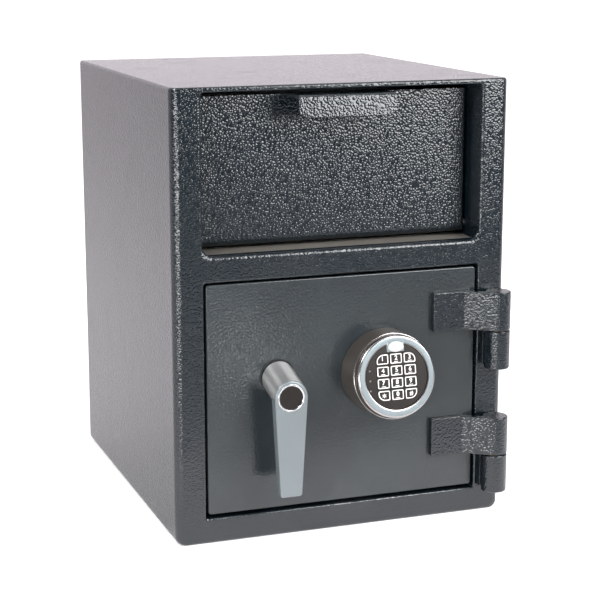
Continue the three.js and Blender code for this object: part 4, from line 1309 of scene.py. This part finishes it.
def make_hinge(label, split):
    """A hinge that parts at this height: leaf and upper barrel on the door, lower barrel on the case."""
    x, y = HINGE_AXIS
    barrel, bore = knuckle(split + 0.5, split + KNUCKLE_HEIGHT, split - 1, split + 32.5)
    plate = cut_sheet([leaf_section()], split + 0.5, split + KNUCKLE_HEIGHT, "Z", 0.9)
    leaf = carved(carved(plate, [barrel], "UNION"), [bore])
    seam_y = DOOR_FRONT - 0.5
    welds = []
    for z in (split + 0.9, split + KNUCKLE_HEIGHT - 0.9):
        welds.append(weld_bead([(LEAF_START + 3, seam_y, z), (LEAF_BEND + 8, seam_y, z)], Bead=1.2))
    seam = [(LEAF_START + 0.9, seam_y, split + h) for h in (3.0, KNUCKLE_HEIGHT - 3.0)]
    welds.append(weld_bead(seam, Bead=1.2))
    leaf = joined(leaf, *welds)
    set_down(f"hinge_leaf_{label}", leaf, hammer_paint, "door", f"hinge_leaf_{label}", crease=40)
    barrel, bore = knuckle(split - KNUCKLE_HEIGHT, split - 0.5, split - 32, split + 1)
    foot = box(x - 9.5, HALF_WIDTH - SIDE_BEND - 1.5, y + 5, FRONT_Y, split - 38.5, split - 2)
    fixed = carved(carved(barrel, [foot], "UNION"), [bore])
    seam_x, seam_y = x - 10.0, FRONT_Y - 1.2
    welds = [weld_bead([(seam_x, seam_y, split - 37), (seam_x, seam_y, split - 3)], Bead=1.5)]
    set_down(
        f"hinge_knuckle_{label}",
        joined(fixed, *welds),
        fine_hammer_paint,
        "case",
        f"hinge_knuckle_{label}",
        crease=40,
    )
    pin = rounded_rod(HINGE_PIN_RADIUS, 64, 0.8, Matrix.Translation((x, y, split - 32)))
    set_down(f"hinge_pin_{label}", pin, bright_steel, "case", f"hinge_pin_{label}")
    profile = [(5.3, -0.5), (10.0, -0.5), (10.0, 0.48), (5.3, 0.48)]
    washer = turned(profile, Matrix.Translation((x, y, split)), 64, True)
    set_down(f"hinge_washer_{label}", washer, darkened_brass, "case", f"hinge_washer_{label}")


# Lever and boltwork
def make_lever():
    """An oblique round neck with a flat tapering arm hanging from its front."""
    def neck_ring(y, x_radius, z):
        return [Vector((p.x, y, p.y)) for p in circle(LEVER_X, z, x_radius, 72)]

    eye = along("-Y", (LEVER_X, LEVER_FRONT, LEVER_EYE_Z))
    rounding = 1.4
    rings = [neck_ring(NECK_BACK, NECK_RADIUS, LOCK_Z)]
    run = NECK_BACK - LEVER_FRONT
    # An extra ring marks off the band at the neck's base that is painted black as its shadow line.
    shade_band_z = LOCK_Z - (LOCK_Z - LEVER_EYE_Z) * NECK_SHADE_BAND / run
    rings.append(neck_ring(NECK_BACK - NECK_SHADE_BAND, NECK_RADIUS, shade_band_z))
    for k in range(7):
        turn = math.pi / 2 * k / 6
        inset = rounding * (1 - math.cos(turn))
        y = LEVER_FRONT + rounding * (1 - math.sin(turn))
        z = LEVER_EYE_Z + (LOCK_Z - LEVER_EYE_Z) * (y - LEVER_FRONT) / run
        rings.append(neck_ring(y, NECK_RADIUS - inset, z))
    end = LEVER_END_WIDTH / 2
    arm = cut_sheet(
        [arc_corners([
            (LEVER_X - NECK_RADIUS, LEVER_EYE_Z),
            (LEVER_X - end, LEVER_END_Z, 2.5),
            (LEVER_X + end, LEVER_END_Z, 2.5),
            (LEVER_X + NECK_RADIUS, LEVER_EYE_Z),
        ])],
        LEVER_FRONT,
        LEVER_FRONT + LEVER_THICKNESS,
        "Y",
        1.0,
        rounds=4,
    )
    lever = carved(lofted(rings), [arm], "UNION")
    profile = [
        (0, 6),
        (RIM_RADIUS, 6),
        (RIM_RADIUS, -RIM_RECESS),
        (PLUG_RADIUS, -RIM_RECESS),
        (PLUG_RADIUS, -PLUG_RECESS),
        (0, -PLUG_RECESS),
    ]
    recess = turned(profile, eye)
    neck_start = LEVER_FRONT + LEVER_THICKNESS + 1.0
    shade_band_start = NECK_BACK - NECK_SHADE_BAND

    # The arm keeps the satin paint, the neck takes the cast finish, and the band by the door takes black
    # nylon: a painted shadow line at the neck's base.
    def paint_of(middle):
        return int(middle.y > neck_start) + int(middle.y > shade_band_start)

    lever = painted(carved(lever, [recess]), paint_of)
    set_down("lever", lever, [satin_silver, cast_silver, nylon], "lever", "lever", crease=32)
    make_plug(eye)


def make_plug(eye):
    """The narrow rim let into the lever's front, and the black plug within it."""
    profile = [
        (PLUG_FACE, -RIM_RECESS),
        (RIM_RADIUS, -RIM_RECESS),
        (RIM_RADIUS, -0.3),
        (RIM_RADIUS - 0.4, 0),
        (PLUG_FACE + 0.6, 0),
        (PLUG_FACE, -0.5),
    ]
    set_down("lever_rim", turned(profile, eye, 96, True), polished_edge, "lever")
    profile = [
        (0, -PLUG_RECESS),
        (PLUG_RADIUS, -PLUG_RECESS),
        (PLUG_RADIUS, -RIM_RECESS),
        (PLUG_FACE, -RIM_RECESS),
        (PLUG_FACE, -1.0),
        (PLUG_FACE - 0.5, -0.6),
        (0, -0.5),
    ]
    set_down("lever_plug", turned(profile, eye, 96), dark_plastic, "lever", "lever_plug")


def make_spindle():
    """The lever's shaft through the door, and its flanged bush."""
    place = along("-Y", (LEVER_X, DOOR_FRONT, LOCK_Z))
    bore = SPINDLE_RADIUS + FIT
    profile = [(bore, -8), (10, -8), (10, 0), (18, 0), (18, 0.9), (17.3, 1.5), (bore, 1.5)]
    bush = turned(profile, place, 80, True)
    set_down("lever_bush", bush, nylon, "door", "lever_bush")
    place = along("Y", (LEVER_X, NECK_BACK, LOCK_Z))
    spindle = rounded_rod(SPINDLE_RADIUS, SPINDLE_END - NECK_BACK, 0.5, place)
    set_down("lever_spindle", spindle, bright_steel, "lever", "lever_spindle")


def make_crank():
    """The crank on the spindle's end, with the pin that drives the carriage."""
    pin_x = LEVER_X + CRANK_REACH * math.sin(CRANK_TURN)
    pin_z = LOCK_Z - CRANK_REACH * math.cos(CRANK_TURN)
    hub, eye = CRANK_RADII
    side = Vector((pin_z - LOCK_Z, LEVER_X - pin_x)).normalized()
    web = [
        Vector((LEVER_X, LOCK_Z)) + side * hub,
        Vector((pin_x, pin_z)) + side * eye,
        Vector((pin_x, pin_z)) - side * eye,
        Vector((LEVER_X, LOCK_Z)) - side * hub,
    ]
    parts = [
        cut_sheet([circle(LEVER_X, LOCK_Z, hub, 48)], SPINDLE_END, CRANK_BACK, "Y"),
        cut_sheet([circle(pin_x, pin_z, eye, 40)], SPINDLE_END, CRANK_BACK, "Y"),
    ]
    crank = carved(cut_sheet([web], SPINDLE_END, CRANK_BACK, "Y"), parts, "UNION")
    pin_length = CARRIAGE_BACK + 0.5 - CRANK_BACK + 1
    pin = rounded_rod(4.0, pin_length, 0.5, along("Y", (pin_x, CRANK_BACK - 1, pin_z)))
    washer = turned([(0, 0), (6.2, 0), (6.2, 1.0), (0, 1.0)], along("Y", (LEVER_X, CRANK_BACK - 1.2, LOCK_Z)))
    set_down("bolt_crank", joined(crank, pin, washer), zinc_plate, "lever", "bolt_crank", edge=0.4)


def make_carriage():
    """The plate that carries the bolts, with its slots and the ramped arm over the lock bolt."""
    low, high = DOOR_MIDDLE - 92, DOOR_MIDDLE + 92
    slope = LOCK_LIFT / THROW
    edge = arc_corners([
        (CARRIAGE_LEFT, low, 2.0),
        (CARRIAGE_RIGHT, low, 2.0),
        (CARRIAGE_RIGHT, ARM_LOW),
        (LOCK_BOLT_X, ARM_LOW),
        (LOCK_BOLT_X + 20, ARM_LOW + slope * 20, 1.0),
        (LOCK_BOLT_X + 20, ARM_LOW + 20, 2.0),
        (CARRIAGE_RIGHT, ARM_LOW + 20),
        (CARRIAGE_RIGHT, high, 2.0),
        (CARRIAGE_LEFT, high, 2.0),
    ], 5)
    slots = []
    for z in STUD_HEIGHTS.values():
        slots.append(rectangle(STUD_X - 4.5, STUD_X + THROW + 4.5, z - 4.5, z + 4.5, 4.3, 6))
    pin_x = LEVER_X + 15.0
    slots.append(rectangle(pin_x - 4.5, pin_x + 4.5, LOCK_Z - 34.5, LOCK_Z - 21.48, 4.3, 6))
    plate = cut_sheet([edge, *slots], CARRIAGE_FRONT, CARRIAGE_BACK, "Y", 0.4)
    ears = []
    for z in BOLT_HEIGHTS.values():
        ear = box(CARRIAGE_LEFT, CARRIAGE_LEFT + 7, CARRIAGE_BACK - 1, BOLT_Y + BOLT_RADIUS, z - 11, z + 11)
        ears.append(ear)
    whole = joined(plate, *ears)
    set_down("bolt_carriage", whole, zinc_plate, "boltwork", "bolt_carriage")
    for label, z in BOLT_HEIGHTS.items():
        bolt = rounded_rod(BOLT_RADIUS, CARRIAGE_LEFT + PAN_X, 1.6, along("X", (-PAN_X, BOLT_Y, z)), 64)
        set_down(f"locking_bolt_{label}", bolt, bright_steel, "boltwork", f"locking_bolt_{label}")


def make_studs():
    """The two studs behind the door on which the carriage slides, with a recess in each head."""
    shank, head = STUD_RADII
    reach = CARRIAGE_BACK + 0.5 - DOOR_BACK
    profile = [
        (0, 0),
        (shank, 0),
        (shank, reach),
        (head, reach),
        (head, reach + 2.4),
        (head - 0.6, reach + 3),
        (2.6, reach + 3),
        (2.6, reach + 1.4),
        (0, reach + 1.4),
    ]
    for label, z in STUD_HEIGHTS.items():
        stud = turned(profile, along("Y", (STUD_X, DOOR_BACK, z)), 48)
        set_down(f"guide_stud_{label}", stud, bright_steel, "door", f"guide_stud_{label}")


def make_lock():
    """The lock case with its slot and four screw recesses, and the slanted bolt in the slot."""
    low, high = LOCK_Z_SPAN
    middle = (CARRIAGE_FRONT + CARRIAGE_BACK) / 2
    outside = cut_sheet([rectangle(*LOCK_X, low, high, 4.0)], DOOR_BACK, LOCK_BACK, "Y", 0.8)
    slot = box(LOCK_BOLT_X - 0.3, LOCK_BOLT_X + 12.3, middle - 5.3, middle + 5.3, 170, high + 1)
    screws = []
    for x in (LOCK_X[0] + 7, LOCK_X[1] - 7):
        for z in (low + 7, high - 7):
            screws.append(turned(
                [(3.6, 1), (3.6, -0.6), (2.6, -0.6), (1.8, -1.6), (0, -1.6), (0, 1)],
                along("Y", (x, LOCK_BACK, z)),
                32,
            ))
    recessed = carved(outside, [slot])
    set_down("lock_case", carved(recessed, screws), zinc_plate, "door", "lock_case", crease=30)
    wedge = arc_corners([
        (LOCK_BOLT_X, LOCK_BOLT_TOP - 24),
        (LOCK_BOLT_X + 12, LOCK_BOLT_TOP - 24),
        (LOCK_BOLT_X + 12, LOCK_BOLT_TOP + 4),
        (LOCK_BOLT_X, LOCK_BOLT_TOP),
    ])
    bolt = cut_sheet([wedge], middle - 5, middle + 5, "Y")
    set_down("lock_bolt", bolt, brass_metal, "lock_bolt", "lock_bolt", edge=0.4)


# Keypad
def in_keypad(bm):
    """The mesh brought from the keypad's own frame to the safe's."""
    bm.transform(KEYPAD_PLACE)
    return bm


def make_housing():
    """The leaning, slightly tapering body of the keypad, hollow towards the door."""
    facing = Vector((0, -math.cos(KEYPAD_TILT), math.sin(KEYPAD_TILT)))
    front = KEYPAD_CENTRE - facing * (RING_DEPTH + FIT)
    wide, narrow = HOUSING_RADII

    def ring_at(share, radius, lift=0.0):
        lean = KEYPAD_TILT * share
        centre = HOUSING_BASE.lerp(front, share) + facing * lift
        ring = []
        for p in circle(0, 0, radius, 96):
            ring.append(Vector((p.x, p.y * math.sin(lean), p.y * math.cos(lean))) + centre)
        return ring

    rings = [ring_at(0, wide - 0.8), ring_at(0.02, wide - 0.2), ring_at(0.05, wide)]
    rings += [ring_at(k / 10, wide + (narrow - wide) * k / 10) for k in range(1, 10)]
    for k in range(6):
        turn = math.pi / 2 * k / 5
        rings.append(ring_at(1, narrow - 1.6 * (1 - math.cos(turn)), 1.6 * (math.sin(turn) - 1)))
    x, _, z = HOUSING_BASE
    hollow = rounded_rod(40.0, 19.0, 0.5, along("Y", (x, DOOR_FRONT - 18, z)), 72)
    housing = carved(lofted(rings), [hollow])
    set_down("keypad_housing", housing, housing_plastic, "door", "keypad_housing", crease=30)


def make_ring():
    """The silver ring: a chrome line at the back, a dark groove, a polished bevel and a satin band."""
    bevel = []
    for k in range(7):
        turn = math.pi / 2 * k / 6
        bevel.append((RING_RADIUS - 2.6 * (1 - math.cos(turn)), -2.6 + 2.6 * math.sin(turn)))
    profile = [
        (RING_INNER, -RING_DEPTH),
        (RING_FLANGE - 0.3, -RING_DEPTH),
        (RING_FLANGE, -RING_DEPTH + 0.4),
        (RING_FLANGE - 0.1, -RING_DEPTH + 1.1),
        (RING_FLANGE - 0.6, -RING_DEPTH + 1.4),
        (RING_RADIUS - 1.4, -RING_DEPTH + 1.8),
        (RING_RADIUS - 1.4, -RING_DEPTH + 3.0),
        (RING_RADIUS - 0.3, -RING_DEPTH + 3.3),
        (RING_RADIUS, -RING_DEPTH + 3.7),
        *bevel,
        (RING_INNER + 1.5, 0),
        (RING_INNER + 0.4, -0.35),
        (RING_INNER, -1.2),
    ]
    ring = turned(profile, None, 144, True)

    def paint_of(middle):
        radius = math.hypot(middle.x, middle.y)
        if middle.z < -RING_DEPTH + 1.5 and radius > RING_RADIUS - 0.9:
            return 1
        if middle.z < -RING_DEPTH + 3.1:
            return 2
        return 1 if radius > RING_RADIUS - 1.7 or radius < RING_INNER + 1.3 else 0

    painted(ring, paint_of)
    half = TAB_WIDTH / 2
    root = RING_INNER + 1.2
    corners = [(-half, root), (-half, TAB_INNER, 1.0), (half, TAB_INNER, 1.0), (half, root)]
    tab = cut_sheet([arc_corners(corners, 5)], -TAB_THICKNESS, -0.02, "Z", 0.35)
    whole = in_keypad(joined(ring, tab))
    set_down("keypad_ring", whole, [ring_silver, ring_edge, groove_black], "door", "keypad_ring", crease=40)


def dome_rings(half_x, half_y, rise, base, steps=8):
    """Oval rings of a shallow button, round at its edge and nearly flat on top."""
    rings = []
    for k in range(steps + 1):
        share = k / steps
        size = (1 - share**3) ** 0.5 if k < steps else 0.04
        size = max(size, 0.04)
        reach_x, reach_y, height = half_x * size, half_y * size, base + rise * share
        rings.append([Vector((p.x * reach_x, p.y * reach_y, height)) for p in circle(0, 0, 1, 64)])
    return rings


def make_dome():
    """The pale oval button on the ring's tab."""
    dome = lofted(dome_rings(8.3, 5.3, 2.4, FIT))
    bmesh.ops.translate(dome, verts=dome.verts, vec=(0, DOME_Y, 0))
    set_down("keypad_dome", in_keypad(dome), pearl, "door", "keypad_dome", crease=50)


def key_middle(column, row):
    """The middle of a key in its column and row."""
    return (column - 1) * KEY_PITCH[0], (1.5 - row) * KEY_PITCH[1]


def key_outline(column, row, grow=0.0, steps=7):
    """The outline of a key in its column and row: the four keys at the corners are rounder outside."""
    x, y = key_middle(column, row)
    half_x, half_y = KEY_SIZE[0] / 2 + grow, KEY_SIZE[1] / 2 + grow
    corners = []
    for side_x, side_y in ((-1, -1), (1, -1), (1, 1), (-1, 1)):
        outer = side_x == column - 1 and ((row == 0 and side_y > 0) or (row == 3 and side_y < 0))
        radius = (KEY_OUTER_CORNER if outer else KEY_CORNER) + grow
        corners.append((x + side_x * half_x, y + side_y * half_y, radius))
    return arc_corners(corners, steps)


def make_face():
    """The dark face with its key holes, and the light guide whose three ends are the lamps."""
    holes = [key_outline(i % 3, i // 3, FIT) for i in range(12)]
    holes += [circle(LAMP_X, y, 1.1, 24) for y in LAMP_HEIGHTS]
    plate = cut_sheet([circle(0, 0, RING_INNER - FIT, 96), *holes], FACE_BACK, FACE_FRONT, "Z", 0.15)
    half = TAB_WIDTH / 2 + FIT
    notch = cut_sheet([rectangle(-half, half, TAB_INNER - FIT, RING_RADIUS)], -TAB_THICKNESS - FIT, 2)
    face = in_keypad(carved(plate, [notch]))
    set_down("keypad_face", face, dark_plastic, "door", "keypad_face", crease=30)
    lamps = [rounded_rod(0.8, 5.3, 0.3, Matrix.Translation((LAMP_X, y, -6.2)), 24) for y in LAMP_HEIGHTS]
    bar = cut_sheet([rectangle(LAMP_X - 1, LAMP_X + 1, LAMP_HEIGHTS[0] - 2, LAMP_HEIGHTS[2] + 2)], -6.9, -5.7)
    set_down("lamp_light_guide", in_keypad(joined(bar, *lamps)), lamp_lens, "door", "lamp_light_guide")


def mark_mesh(sign, size, x, y, z, bold=0.12):
    """A printed sign as a thin raised mesh, centred on its place."""
    text = bpy.data.curves.new("sign", "FONT")
    text.body = sign
    text.size = size
    text.align_x = "CENTER"
    text.align_y = "CENTER"
    text.offset = bold
    text.extrude = 0.03
    text.resolution_u = 4
    bm = taken_out(shown_holder("sign", text))
    xs = [v.co.x for v in bm.verts]
    ys = [v.co.y for v in bm.verts]
    middle = Vector(((min(xs) + max(xs)) / 2, (min(ys) + max(ys)) / 2, 0))
    bmesh.ops.translate(bm, verts=bm.verts, vec=Vector((x, y, z)) - middle)
    return bm


KEY_SIGNS = {
    "1": "1", "2": "2", "3": "3", "4": "4", "5": "5", "6": "6",
    "7": "7", "8": "8", "9": "9", "star": "*", "0": "0", "hash": "#",
}


def make_keys():
    """Twelve rubber keys, each with a printed frame round its edge, its digit and a short bar beneath."""
    for i, (name, sign) in enumerate(KEY_SIGNS.items()):
        column, row = i % 3, i // 3
        x, y = key_middle(column, row)
        cap = cut_sheet([key_outline(column, row)], KEY_TOP - KEY_LENGTH, KEY_TOP, "Z", 0.35)
        outer, inner = key_outline(column, row, -0.45), key_outline(column, row, -1.4)
        frame_line = cut_sheet([outer, inner], KEY_TOP - 0.05, KEY_TOP + 0.05)
        prints = [frame_line]
        if sign == "*":
            prints.append(mark_mesh(sign, 9.5, x, y, KEY_TOP + 0.03))
        else:
            lift = 0.0 if sign == "#" else 0.9
            prints.append(mark_mesh(sign, 6.2, x, y + lift, KEY_TOP + 0.03))
        if sign not in "1*#":
            bar = rectangle(x - 2.1, x + 2.1, y - 3.2, y - 2.6)
            prints.append(cut_sheet([bar], KEY_TOP - 0.05, KEY_TOP + 0.05))
        print_faces = joined(*prints)
        painted(print_faces, lambda middle: 1)
        whole = in_keypad(joined(cap, print_faces))
        set_down(f"key_{name}", whole, [key_rubber, key_print], f"key_{name}", f"key_{name}", crease=40)


def make_lead():
    """The lead from the keypad through the door to the lock case."""
    route = bpy.data.curves.new("lead", "CURVE")
    route.dimensions = "3D"
    route.bevel_depth = LEAD_RADIUS
    route.bevel_resolution = 5
    route.use_fill_caps = True
    route.resolution_u = 10
    spline = route.splines.new("BEZIER")
    spline.bezier_points.add(len(LEAD_PATH) - 1)
    for handle, place in zip(spline.bezier_points, LEAD_PATH):
        handle.co = place
        handle.handle_left_type = "AUTO"
        handle.handle_right_type = "AUTO"
    bm = taken_out(shown_holder("lead", route))
    set_down("keypad_lead", closed(bm), black_rubber, "door", "keypad_cable", crease=50)


# Camera and studio
def make_camera():
    """The camera that was fitted to the photograph."""
    lens = bpy.data.cameras.new("camera")
    lens.sensor_width = SENSOR
    lens.lens = CAMERA_FOCUS / PHOTO_WIDTH * SENSOR
    lens.clip_start = 0.05
    lens.clip_end = 50.0
    camera = shown_holder("camera", lens)
    camera.location = CAMERA_PLACE * MM
    camera.rotation_euler = (math.pi / 2 - CAMERA_PITCH, 0.0, -CAMERA_YAW)
    bpy.context.scene.camera = camera


def soft_box(name, place, aim, size, glow):
    """A rectangular lamp of an even glow, where 1 is as bright as white paper."""
    lamp = bpy.data.lights.new(name, "AREA")
    lamp.shape = "RECTANGLE"
    lamp.size, lamp.size_y = size
    lamp.energy = math.pi * size[0] * size[1] * glow
    holder = shown_holder(name, lamp)
    holder.location = place
    holder.rotation_euler = (Vector(place) - Vector(aim)).to_track_quat("Z", "Y").to_euler()
    holder.visible_camera = False


def mirrored_ray(tree):
    """Whether a ray comes off a glossy surface or through a clear one."""
    path = tree.nodes.new("ShaderNodeLightPath").outputs
    return math_node(tree, "MAXIMUM", path["Is Glossy Ray"], path["Is Transmission Ray"])


def room_glow(tree, along_y, lighting, front, back, near=0.0, shown=SEEN_GLOW):
    """The glow of the pale room: faint as light, and when mirrored dim in front and bright behind."""
    path = tree.nodes.new("ShaderNodeLightPath").outputs
    mirrored = mirrored_ray(tree)
    room = ramp(tree, along_y, -0.4, 0.6, front - lighting, back - lighting)
    room = math_node(tree, "ADD", room, near)
    seen = math_node(tree, "MULTIPLY", path["Is Camera Ray"], math_node(tree, "SUBTRACT", shown, lighting))
    extra = math_node(tree, "MAXIMUM", math_node(tree, "MULTIPLY", mirrored, room), seen)
    return math_node(tree, "ADD", extra, lighting)


def studio_tint(tree):
    """White to the camera, and a little rosy in mirrored rays, as the studio's own walls are."""
    path = tree.nodes.new("ShaderNodeLightPath").outputs
    tint = node(tree, "ShaderNodeMix", {"data_type": "RGBA"}, i0=path["Is Camera Ray"])
    tint.inputs[6].default_value = (1.0, 0.93, 0.99, 1.0)
    tint.inputs[7].default_value = (1.0, 1.0, 1.0, 1.0)
    return tint.outputs[2]


def make_studio():
    """The pale room, its soft boxes and its floor."""
    world = bpy.data.worlds.new("studio")
    bpy.context.scene.world = world
    world.use_nodes = True
    tree = world.node_tree
    background = tree.nodes["Background"]
    tree.links.new(studio_tint(tree), background.inputs["Color"])
    outward = tree.nodes.new("ShaderNodeTexCoord").outputs["Generated"]
    heading = node(tree, "ShaderNodeSeparateXYZ", None, Vector=outward)
    tree.links.new(room_glow(tree, heading.outputs["Y"], 0.18, 0.22, 1.12), background.inputs["Strength"])
    for lamp in SOFT_BOXES:
        soft_box(*lamp)
    make_floor()
    bpy.context.scene.view_settings.view_transform = "Standard"


def make_floor():
    """Pale paper under the safe, whose glow follows the room's and is less beside the safe."""
    floor_mesh = bpy.data.meshes.new("floor")
    signs = ((-1, -1), (1, -1), (1, 1), (-1, 1))
    corners = [(x * FLOOR_REACH, y * FLOOR_REACH, -FLOOR_DROP) for x, y in signs]
    floor_mesh.from_pydata(corners, [], [(0, 1, 2, 3)])
    floor = shown_holder("floor", floor_mesh)
    paper = bpy.data.materials.new("pale_paper")
    paper.use_nodes = True
    tree = paper.node_tree
    surface = tree.nodes["Principled BSDF"]
    surface.inputs["Roughness"].default_value = 0.9
    tree.links.new(studio_tint(tree), surface.inputs["Emission Color"])
    along_y = node(tree, "ShaderNodeSeparateXYZ", None, Vector=object_place(tree)).outputs["Y"]
    away = ramp(tree, along_y, -0.33, -0.58)
    faded = math_node(tree, "MULTIPLY", math_node(tree, "MULTIPLY", away, mirrored_ray(tree)), 0.42)
    tree.links.new(math_node(tree, "SUBTRACT", 0.8, faded), surface.inputs["Base Color"])
    beside = ramp(tree, along_y, -0.12, -0.2)
    near = math_node(tree, "MULTIPLY", beside, ramp(tree, along_y, -0.58, -0.33, 0.0, 0.7))
    afar = node(tree, "ShaderNodeVectorMath", {"operation": "LENGTH"}, Vector=object_place(tree))
    shown = ramp(tree, afar.outputs["Value"], *SHADOW_REACH, FLOOR_GLOW, SEEN_GLOW)
    glow = room_glow(tree, along_y, 0.0, 0.06, 0.62, near, shown)
    tree.links.new(glow, surface.inputs["Emission Strength"])
    floor_mesh.materials.append(paper)


make_camera()
make_case()
make_baffle()
make_hopper()
make_door()
make_pan()
make_dead_bar()
for label, split in HINGE_SPLITS.items():
    make_hinge(label, split)
make_lever()
make_spindle()
make_crank()
make_carriage()
make_studs()
make_lock()
make_housing()
make_ring()
make_dome()
make_face()
make_keys()
make_lead()
make_studio()
